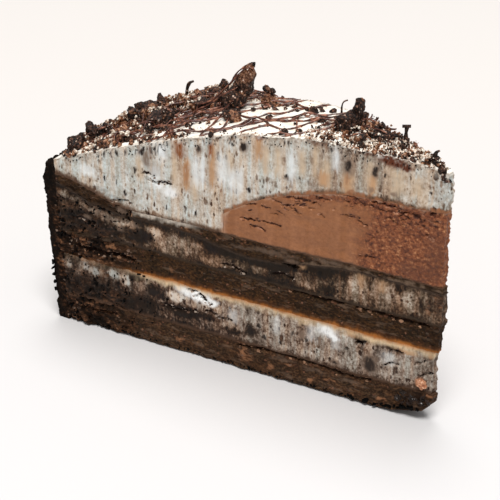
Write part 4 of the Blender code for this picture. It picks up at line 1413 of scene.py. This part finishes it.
def lumps(rng, spots, level, breaks=7, crumble=0.22, flat=(0.55, 1.0)):
    """Points and faces of broken lumps: balls cut off by random planes and roughened."""
    points, faces = BALLS[level]
    spots = np.asarray(spots, float)
    count = len(spots)
    shape = np.repeat(points[None], count, axis=0)
    normals = rng.normal(size=(count, breaks, 3))
    normals /= np.linalg.norm(normals, axis=2)[:, :, None]
    reach = rng.uniform(0.5, 0.92, (count, breaks))
    for i in range(breaks):
        n = normals[:, i, None, :]
        beyond = np.clip((shape * n).sum(2) - reach[:, i, None], 0, None)
        shape = shape - beyond[:, :, None] * n
    offset = rng.uniform(-90, 90, (count, 1, 3))
    rough = layered_noise((shape * 1.7 + offset).reshape(-1, 3), 87, 3).reshape(count, -1)
    shape = shape * (1 + crumble * rough)[:, :, None]
    stretch = rng.uniform(*flat, (count, 1, 3))
    stretch[:, :, 0] = 1.15
    shape = shape * stretch
    shape = np.einsum("nij,nvj->nvi", random_turns(rng, count), shape)
    shape = shape * spots[:, None, 3:4] + spots[:, None, :3]
    numbers = faces[None] + (np.arange(count) * len(points))[:, None, None]
    return shape.reshape(-1, 3), numbers.reshape(-1, 3)


def joined(parts):
    """Several sets of points and faces as one."""
    points, faces, start = [], [], 0
    for some_points, some_faces in parts:
        points.append(some_points)
        faces.extend((np.asarray(face) + start).tolist() for face in some_faces)
        start += len(some_points)
    return np.concatenate(points), faces


def heap_border(a):
    """Where the heap of crumbs begins, further out on the near side."""
    return 91 - 1.3 * np.minimum(np.degrees(a), 0)


def heap_share(s, a):
    """How full of crumbs a place is, from 0 to 1."""
    dense = 0.3 * smooth(-14, -11, np.degrees(a)) + 0.7 * smooth(-10, -6, np.degrees(a))
    heap = smooth(-4, 5, s - heap_border(a)) * dense
    near_edge = 0.12 * smooth(76, 92, s)
    at_tip = 0.55 * fade(34, 46, s) * smooth(-4, 9, np.degrees(a)) * smooth(8, 24, s)
    around = 0.10 * fade(38, 48, s)
    return np.clip(np.maximum.reduce([heap, near_edge, at_tip, around, 0.006 + 0 * s]), 0, 1)


def near_left(s, a):
    """The part of the heap along the near edge, where pale crumbs and thin strands lie."""
    return smooth(88, 102, s) * fade(-8, -3, np.degrees(a))


def gap_share(s, x, y):
    """Less than 1 in the gaps of the heap, where the cream shows; they are wider towards the rim."""
    gap = noise.noise((x / 5, y / 5, 4.4)) + 0.5 * noise.noise((x / 2.4, y / 2.4, 8.8))
    return 1 - float((0.8 * smooth(70, 84, s) + 0.2 * smooth(84, 112, s)) * smooth(-0.2, 0.02, gap))


def beside_large_pieces(x, y):
    """0 on the large pieces that show whole and just beside them, 1 elsewhere."""
    share = 1.0
    for number in SHOWN_WHOLE:
        s, a, width, depth, _ = CHUNKS[number - 1]
        away = math.dist((x, y), plan(s, math.radians(a))) / (0.5 * max(width, depth))
        share = min(share, float(smooth(0.95, 1.3, away)))
    return share


def drop_crumbs(rng, ground, count, sizes, depth, share=heap_share, margin=0.2):
    """Drops crumbs one by one on what lies there, no higher than the heap's depth above the cream."""
    spots = []
    for _ in range(count * 6):
        if len(spots) == count:
            break
        s = CAKE_RADIUS * math.sqrt(rng.random())
        a = rng.uniform(-HALF, HALF)
        x, y = plan(s, a)
        radius = sizes[0] + (sizes[1] - sizes[0]) * rng.random() ** 2
        fullness = float(share(s, a)) * gap_share(s, x, y) * beside_large_pieces(x, y)
        if rng.random() > fullness or not inside_slice(x, y, margin * radius, TIP_START + 1.0):
            continue
        z = ground.rest(x, y, radius)
        allowed = float(dome(s, a)) + depth * fullness + 0.5 * radius
        if z > allowed:
            continue
        ground.cover(x, y, z, radius)
        spots.append((x, y, z, radius))
    return spots


def cookie_pieces(look):
    """The large cookie pieces: each solid made finer, then broken up like packed crumbs."""
    for number in range(1, len(CHUNKS) + 1):
        node = f"cookie_chunk_{number}"
        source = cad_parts[node]
        obj = bpy.data.objects.new("remeshed", source.data.copy())
        bpy.context.scene.collection.objects.link(obj)
        remesh = obj.modifiers.new("remesh", "REMESH")
        remesh.mode = "VOXEL"
        remesh.voxel_size = PIECE_STEP * MM
        bpy.context.view_layer.update()
        mesh = bpy.data.meshes.new_from_object(obj.evaluated_get(bpy.context.evaluated_depsgraph_get()))
        points = np.array([v.co for v in mesh.vertices]) / MM
        normals = np.array([v.normal for v in mesh.vertices])
        faces = [list(p.vertices) for p in mesh.polygons]
        bpy.data.objects.remove(obj)
        distance, _ = dot_distance(points / 1.3, 60 + number)
        out = 0.5 * layered_noise(points / 2.6, 160 + number, 3) + 0.45 * (0.5 - distance)
        out += 0.08 * gradient_noise(points / 0.5, 260 + number)
        upper = BROWN_ABOVE.get(number, 100)
        above = points[:, 2] + 2 * gradient_noise(points / 2, 360)
        brown = {"brown": 0.7 * smooth(upper - 2, upper + 2, above)}
        moved = points + normals * out[:, None]
        piece = add_mesh(f"cookie_piece_{number}", moved, faces, look, "cookie", brown)
        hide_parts(node)


def tube(route, radii, sides=8):
    """Points and faces of a tube along a route, closed at both ends."""
    route = np.asarray(route, float)
    along = np.gradient(route, axis=0)
    along /= np.linalg.norm(along, axis=1)[:, None]
    across = np.cross(along[0], (0.3, 0.2, 1.0))
    rings = []
    for centre, ahead, radius in zip(route, along, radii):
        across = across - ahead * (across @ ahead)
        across /= np.linalg.norm(across)
        up = np.cross(ahead, across)
        turn = np.linspace(0, math.tau, sides, endpoint=False)[:, None]
        rings.append(centre + radius * (np.cos(turn) * across + np.sin(turn) * up))
    faces = []
    for ring in range(len(route) - 1):
        for i in range(sides):
            j = (i + 1) % sides
            low, high = ring * sides, (ring + 1) * sides
            faces.append((low + i, low + j, high + j, high + i))
    faces.append(tuple(range(sides))[::-1])
    faces.append(tuple((len(route) - 1) * sides + i for i in range(sides)))
    return np.concatenate(rings), faces


def through(points, step):
    """Points a step apart on a smooth curve through the given ones."""
    points = np.asarray(points, float)
    padded = np.vstack([2 * points[0] - points[1], points, 2 * points[-1] - points[-2]])
    found = []
    for p0, p1, p2, p3 in zip(padded, padded[1:], padded[2:], padded[3:]):
        count = max(2, int(np.linalg.norm(p2 - p1) / step))
        t = np.linspace(0, 1, count, endpoint=False)[:, None]
        found.append(0.5 * (2 * p1 + (p2 - p0) * t + (2 * p0 - 5 * p1 + 4 * p2 - p3) * t**2
                            + (3 * p1 - p0 - 3 * p2 + p3) * t**3))
    return np.vstack([*found, points[-1:]])


def laid_on(ground, plan_points, radius):
    """Heights of a strand that lies on the ground and spans its small hollows."""
    x, y = plan_points.T
    around = [ground.at(x + dx, y + dy) for dx in (-0.3, 0.3) for dy in (-0.3, 0.3)]
    lowest = np.maximum.reduce(around) + 0.4 * radius
    z = lowest.copy()
    for _ in range(60):
        z[1:-1] = np.maximum(lowest[1:-1], (z[:-2] + z[2:]) / 2 - 0.012)
    return z


def strand(rng, ground, plan_points, radius):
    plan_points = plan_points[inside_slice(*plan_points.T, 0.35)]
    if len(plan_points) < 6:
        return None
    z = laid_on(ground, plan_points, radius)
    route = np.column_stack([plan_points, z])
    swell = layered_noise(route / 2.2 + rng.uniform(-50, 50), 88, 2)
    ends = np.minimum(np.arange(len(route)), np.arange(len(route))[::-1])
    radii = radius * (1 + 0.55 * swell) * (0.35 + 0.65 * np.minimum(1, ends / 3))
    return tube(route, radii)


def drizzle(look, ground):
    """Strands of chocolate: the thick ones that the solids have, and finer ones that show singly."""
    rng = np.random.default_rng(17)
    low_ground = ground.low(1.2)
    parts = []
    for kinds, under in ((CLIMBING_STRANDS, ground), (FINE_STRANDS, low_ground)):
        for points, radius in kinds:
            s, a = np.array(points).T
            parts.append(strand(rng, under, through(np.column_stack(plan(s, np.radians(a))), 0.45), radius))
    for crossing, heading, bow in STRANDS:
        turn = math.radians(heading)
        along = np.array((math.cos(turn), math.sin(turn)))
        sideways = np.array((-math.sin(turn), math.cos(turn)))
        d = spread(-70, 70, 0.5)[:, None]
        sway = bow * (np.sin(d / 9) + (d / 25) ** 2)
        parts.append(strand(rng, low_ground, np.array((crossing, 0)) + along * d + sideways * sway, 0.3))
    parts.extend(loose_strands(rng, ground.low(3.6)))
    points, faces = joined([part for part in parts if part])
    add_mesh("chocolate_strands", points, faces, look, "chocolate")


def loose_strands(rng, ground):
    """Short bent bits of strand, most of them lying the way that the long ones do."""
    parts = []
    while len(parts) < LOOSE_STRANDS:
        s, a = CAKE_RADIUS * math.sqrt(rng.random()), rng.uniform(-HALF, HALF)
        if rng.random() > max(heap_share(s, a), 0.8 * near_left(s, a)) or not inside_slice(*plan(s, a), 0.6):
            continue
        heading = math.radians(rng.choice((48, 48, 48, 112)) + rng.normal() * 16)
        length, bend = rng.uniform(3, 11), rng.uniform(-0.12, 0.12)
        d = np.arange(-length / 2, length / 2, 0.4)
        turn = heading + bend * d
        steps = 0.4 * np.column_stack([np.cos(turn), np.sin(turn)])
        points = np.array(plan(s, a)) + np.cumsum(steps, axis=0)
        if min(beside_large_pieces(x, y) for x, y in points) > 0.2:
            parts.append(strand(rng, ground, points, rng.uniform(0.12, 0.26)))
    return parts


def curls(look):
    """Upright pieces with a hooked top."""
    parts = []
    hook_way = AWAY.cross(Vector((0, 0, 1)))
    for (s, a, height, hook), ends in zip(CURLS, CURL_RADII):
        turn = math.radians(a)
        foot = np.array((*plan(s, turn), float(dome(s, turn))))
        barred = (s, a) == BARRED_CURL
        side = np.array(hook_way) * hook * (0.3 if barred else 1)
        up = np.array((0, 0, height))
        knots = [foot - (0, 0, 1.5), foot + up * 0.55, foot + up * 0.9 + side * 0.35, foot + up + side]
        route = through(knots, 0.4)
        swell = layered_noise(route / 1.6, 89, 2)
        parts.append(tube(route, (1 + 0.35 * swell) * np.linspace(*ends, len(route))))
        if barred:
            across = np.array(hook_way) * 1.1
            bar = through([route[-1] - across * 1.3, route[-1], route[-1] + across * 0.7], 0.3)
            parts.append(tube(bar, np.full(len(bar), 0.45)))
    points, faces = joined(parts)
    add_mesh("upright_curls", points, faces, look, "cookie")


def flakes(name, look, slot, rng, spots):
    """Thin bent slivers; each spot is x, y, z and length."""
    parts = []
    for x, y, z, length in spots:
        run = np.linspace(-0.5, 0.5, 6)
        bend = rng.uniform(-0.35, 0.35)
        width = rng.uniform(0.08, 0.2) * length
        thick = rng.uniform(0.08, 0.14) * length
        centre = np.column_stack([run * length, 0 * run, bend * length * (run * 2) ** 2])
        ring = []
        for i, c in enumerate(centre):
            pinch = 0.45 + 0.55 * math.sin(math.pi * (i + 0.7) / 6.4) + rng.uniform(-0.12, 0.12)
            corners = ((-1, -1), (1, -1), (1, 1), (-1, 1))
            ring.extend(c + np.array((0, u * width * pinch, v * thick * 0.5)) for u, v in corners)
        faces = [tuple(reversed(range(4))), tuple(20 + n for n in range(4))]
        for i in range(5):
            low, high = 4 * i, 4 * i + 4
            for n, after in ((0, 1), (1, 2), (2, 3), (3, 0)):
                faces.append((low + n, low + after, high + after, high + n))
        spin = Matrix.Rotation(rng.uniform(0, math.tau), 3, "Z")
        lean = Matrix.Rotation(rng.uniform(-0.7, 0.7), 3, "Y")
        roll = Matrix.Rotation(rng.uniform(-0.6, 0.6), 3, "X")
        parts.append((np.array(ring) @ np.array(spin @ lean @ roll).T + (x, y, z), faces))
    points, all_faces = joined(parts)
    add_mesh(name, points, all_faces, look, slot, crease=35)


def crumbs_at(rows):
    """Places and radii from rows of s, angle in degrees, height and radius."""
    return [(*plan(s, math.radians(a)), z, radius) for s, a, z, radius in rows]


def toppings(cookie, brown, drizzle_material, granule):
    """Everything that lies on the cream, from the large pieces to the finest crumbs."""
    cookie_pieces(cookie)
    ground = Ground([f"cookie_chunk_{n}" for n in range(1, len(CHUNKS) + 1)])
    rng = np.random.default_rng(2026)

    rubble = []
    for x, y, size in scatter_as_solids(*FUSED_CRUMBS):
        size *= 0.6 + 0.4 * min(1.0, 1.6 * float(heap_share(*polar(x, y))))
        z = float(dome(*polar(x, y))) + 0.25 * size
        ground.cover(x, y, z, size)
        rubble.append((x, y, z, size))
    single, brown_single = crumbs_at(DARK_CRUMBS), crumbs_at(BROWN_CRUMBS)
    for s, radius in EDGE_CRUMBS:
        z = float(dome(s, -HALF)) + 0.3 * radius
        brown_single.append((*plan(s, EDGE_INSET / s - HALF), z, radius))
    for spot in single + brown_single:
        ground.cover(*spot)
    large = single + [spot for spot in rubble if spot[3] > LARGE_RUBBLE]
    small = [spot for spot in rubble if spot[3] <= LARGE_RUBBLE]
    rubble_parts = joined([lumps(rng, large, 4), lumps(rng, small, 3)])
    add_mesh("cookie_rubble", *rubble_parts, cookie, "cookie", crease=40)

    medium = drop_crumbs(rng, ground, 400, (0.7, 2.1), 3.0)
    fine = drop_crumbs(rng, ground, 900, (0.35, 0.8), 3.2)
    add_mesh("cookie_crumbs", *lumps(rng, brown_single + medium, 3), brown, "cookie", crease=40)
    add_mesh("brown_crumbs", *lumps(rng, fine, 2, 5), brown, "cookie", crease=40)

    low_ground = ground.low(1.5)
    shavings = [(x, y, low_ground.rest(x, y, 0.6, 0.6), 1.4 * size)
                for x, y, size in scatter_as_solids(*FUSED_SHAVINGS)]
    flakes("cookie_slivers", cookie, "cookie", rng, shavings)
    slivers = [(x, y, z, 2.2 * radius) for x, y, z, radius in drop_crumbs(rng, ground, 220, (0.5, 1.3), 3.0)]
    flakes("chocolate_flakes", drizzle_material, "chocolate", rng, slivers)

    drizzle(drizzle_material, ground)
    curls(cookie)

    def at_point(s, a):
        near = fade(2, 9, np.degrees(a))
        return np.clip(fade(40, 50, s) * (0.55 + 0.45 * near), 0, 1)

    def in_heap(s, a):
        return heap_share(s, a) * smooth(60, 80, s)

    def everywhere(s, a):
        return np.clip(0.04 + heap_share(s, a), 0, 1)

    def along_edge(s, a):
        return fade(1.0, 4.0, s * np.sin(HALF + a)) * (0.4 + 0.6 * smooth(66, 84, s))

    def scattered(*kinds):
        return [spot for kind in kinds for spot in drop_crumbs(rng, ground, *kind, 0.0)]

    # The number tried for, the least and largest radius, the depth of the heap, and where they lie
    white = scattered((900, (0.18, 0.55), 2.0, at_point), (900, (0.2, 0.7), 4.0, in_heap),
                      (560, (0.25, 0.85), 3.0, near_left))
    add_mesh("cream_crumbs", *lumps(rng, white, 2, 6, 0.5), granule, "cream", crease=50)

    dust = scattered((2000, (0.14, 0.34), 4.0, everywhere), (760, (0.16, 0.52), 2.0, at_point),
                     (620, (0.16, 0.45), 1.2, along_edge), (260, (0.2, 0.6), 2.5, near_left))
    add_mesh("cookie_dust", *lumps(rng, dust, 1, 3), brown, "cookie", crease=40)


def crumbs_on_sides(look):
    """Crumbs that stick to the cut faces at the crust end, to the crust, and along the foot."""
    rng = np.random.default_rng(99)
    spots = []
    for side in (-1, 1):
        for _ in range(330):
            s = INNER_WALL - 34 * rng.random() ** 1.6
            z = 1 + 42 * rng.random()
            spots.append((*place(leaned(s, z), side * HALF, z), rng.uniform(0.25, 0.6)))
        for _ in range(180):
            s = rng.uniform(8, 122)
            point = place(s, side * HALF, float(dome(s, 0.0)) - 0.2 - 2.6 * rng.random() ** 1.5)
            spots.append((*point, rng.uniform(0.14, 0.36)))
    for _ in range(260):
        z = 50 * rng.random()
        spots.append((*on_crust(rng.uniform(-1, 1), z), rng.uniform(0.3, 0.8)))
    for side in (-1, 1):
        for _ in range(200):
            s = 8 + 118 * rng.random() ** 1.3
            radius = rng.uniform(0.2, 0.5) + 0.25 * fade(10, 40, s)
            spots.append((*place(s, side * HALF, foot_lift(s) + radius + rng.uniform(-0.2, 0.7)), radius))
    for s, radius in ((10, 0.9), (14, 0.8), (21, 0.9), (24, 1.2), (28, 1.1)):
        spots.append((*place(s, -HALF, 0.9 * radius + foot_lift(s)), radius))
    spots.extend((*on_crust(-1, z), 0.95) for z in (19.0, 17.0, 14.6, 12.2, 9.6))
    large = [spot for spot in spots if spot[3] > LARGE_SIDE_CRUMB]
    small = [spot for spot in spots if spot[3] <= LARGE_SIDE_CRUMB]
    flat = (0.35, 0.8)
    points, faces = joined([lumps(rng, large, 2, 5, flat=flat), lumps(rng, small, 1, 5, flat=flat)])
    points[:, 2] = np.maximum(points[:, 2], 0)
    add_mesh("side_crumbs", points, faces, look, "cookie", crease=40)


def corner_lumps(dark, pale):
    """The wet black lumps and the pale biscuit crumb in the cavity at the foot of the point."""
    rng = np.random.default_rng(7)
    wet = (
        (12.6, 7.4, 1.3), (9.8, 6.4, 1.5), (7.2, 7.0, 1.3), (14.4, 5.2, 1.0), (10.6, 4.6, 1.2),
        (7.6, 5.4, 1.2), (5.6, 6.6, 1.0), (13.0, 4.2, 0.8),
    )
    spots = [(*(place(s, -HALF, z) + (0.0, 0.3, 0.0)), r) for s, z, r in wet]
    add_mesh("wet_lumps", *lumps(rng, spots, 4, 6, 0.5), dark, "cookie", crease=40)
    crumb_spots = [(*(place(7.9, -HALF, 11.8) + (0.0, 0.5, 0.0)), 1.7)]
    add_mesh("pale_crumb", *lumps(rng, crumb_spots, 4, 6), pale, "cake", crease=40)


# Floor, light and camera

FOCAL_LENGTH = 108
SENSOR = 36
CAMERA_PLACE = Vector((260.63, -284.3, 235.8)) * MM
CAMERA_AZIMUTH = math.radians(43.19)
CAMERA_PITCH = math.radians(28)


def floor():
    size = 3000
    corners = [(-size, -size, -0.05), (size, -size, -0.05), (size, size, -0.05), (-size, size, -0.05)]
    look = Look("pale_floor")
    # Away from the camera the floor turns a touch warmer: a painted warm tint of the light there
    measure = look.node("ShaderNodeVectorMath", operation="DOT_PRODUCT")
    behind = look.filled(measure, {0: look.here, 1: tuple(AWAY)}, 1)
    share = look.rise(behind, -80, 260)
    tone = look.ramp(share, (0.0, srgb(222, 220, 220)), (1.0, srgb(226, 221, 217)))
    look.plug(look.shader.inputs["Base Color"], tone)
    look.shader.inputs["Roughness"].default_value = 0.9
    mesh = bpy.data.meshes.new("floor")
    mesh.from_pydata([Vector(c) * MM for c in corners], [], [(0, 1, 2, 3)])
    mesh.materials.append(look.material)
    obj = bpy.data.objects.new("floor", mesh)
    bpy.context.scene.collection.objects.link(obj)


def soft_light(name, place_mm, aim_mm, size_mm, power, colour):
    light = bpy.data.lights.new(name, "AREA")
    light.shape = "DISK"
    light.size = size_mm * MM
    light.energy = power
    light.color = colour
    obj = bpy.data.objects.new(name, light)
    obj.location = Vector(place_mm) * MM
    obj.rotation_mode = "QUATERNION"
    obj.rotation_quaternion = (Vector(aim_mm) * MM - obj.location).to_track_quat("-Z", "Y")
    bpy.context.scene.collection.objects.link(obj)


def lighting():
    soft_light("key", (560, -560, 2000), (0, 0, 35), 900, 37, (1.0, 0.992, 0.98))
    soft_light("from_behind", (-412, 443, 2150), (0, 0, 35), 1100, 19, (1.0, 0.99, 0.975))
    world = bpy.data.worlds.new("soft_daylight")
    world.use_nodes = True
    background = world.node_tree.nodes["Background"]
    background.inputs["Color"].default_value = (0.98, 0.99, 1.0, 1)
    background.inputs["Strength"].default_value = 0.32
    bpy.context.scene.world = world
    bpy.context.scene.view_settings.view_transform = "Standard"


def camera():
    data = bpy.data.cameras.new("camera")
    data.lens = FOCAL_LENGTH
    data.sensor_width = SENSOR
    data.clip_start = 0.01
    obj = bpy.data.objects.new("camera", data)
    level = math.cos(CAMERA_PITCH)
    down = -math.sin(CAMERA_PITCH)
    look = Vector((-math.sin(CAMERA_AZIMUTH) * level, math.cos(CAMERA_AZIMUTH) * level, down))
    obj.location = CAMERA_PLACE
    obj.rotation_mode = "QUATERNION"
    obj.rotation_quaternion = look.to_track_quat("-Z", "Y")
    bpy.context.scene.collection.objects.link(obj)
    bpy.context.scene.camera = obj


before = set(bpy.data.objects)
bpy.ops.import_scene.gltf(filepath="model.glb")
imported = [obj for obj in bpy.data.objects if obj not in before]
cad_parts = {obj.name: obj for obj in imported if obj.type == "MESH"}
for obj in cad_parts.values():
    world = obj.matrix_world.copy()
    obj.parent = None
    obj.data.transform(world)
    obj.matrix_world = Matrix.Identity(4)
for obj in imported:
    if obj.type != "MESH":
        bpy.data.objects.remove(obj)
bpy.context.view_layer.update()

# The layers from the foot up. Each seam is a colour, whether it lies at the floor, and its reach; each
# speck kind is its lengths, size, share and seed.
crumb = cake_look("cake_crumb", CAKE_TONES)
low_crumb = cake_look("low_cake_crumb", LOW_CAKE_TONES)
cookie = cookie_look("dark_cookie", 0.6)
cake_layer("cake_bottom", low_crumb, base, cake_bottom_top, 25, (("bottom", False, 0.5),), worn=WORN_CORNER)
lower_specks = (((1.7, 1.7, 2.4), 0.56, 0.75, 21.0), ((0.9, 0.9, 1.4), 0.56, 0.7, 22.0))
lower = mousse_look("lower_mousse", LOWER_TONES, lower_specks, 1.75, 3.5)
streaked_layer("mousse_lower", lower, cake_bottom_top, mousse_lower_top, 32, smear_lower,
               (("bottom", True, 1.0), ("honey", False, 2.6), ("glow", False, 1.1)), -0.7)
cake_layer("cake_middle", crumb, mousse_lower_top, cake_middle_top, 22,
           (("ember", True, 2.4), ("glow", True, 1.0), ("middle", False, 0.6)), 0.5)
middle_specks = (((1.9, 1.9, 2.2), 0.5, 0.6, 31.0), ((0.9, 0.9, 1.2), 0.52, 0.6, 32.0))
middle = mousse_look("streaked_mousse", STREAKED_TONES, middle_specks, 1.85, 2.2)
streaked_layer("mousse_middle", middle, cake_middle_top, mousse_middle_top, 24, smear_middle,
               (("middle", True, 0.9), ("sheet", False, 0.8)), 1.2)
cake_layer("cake_top", crumb, mousse_middle_top, cake_top_top, 12,
           (("sheet", True, 0.8), ("cream", False, 0.5)), 0.5)
chocolate_layer(chocolate_look())
top_specks = (((2.1, 2.1, 3.4), 0.44, 0.45, 41.0), ((1.0, 1.0, 2.2), 0.5, 0.5, 42.0),
              ((0.7, 0.7, 1.3), 0.46, 0.5, 43.0))
top = mousse_look("top_mousse", CREAM_TONES, top_specks, 1.35, 5.0, LID_TONES)
top_cream(top)
crust_wall(crust_look())
toppings(cookie, cookie_look("brown_cookie", 0.43), drizzle_look(), granule_look())
crumbs_on_sides(low_crumb)
corner_lumps(wet_look(), biscuit_look())

floor()
lighting()
camera()
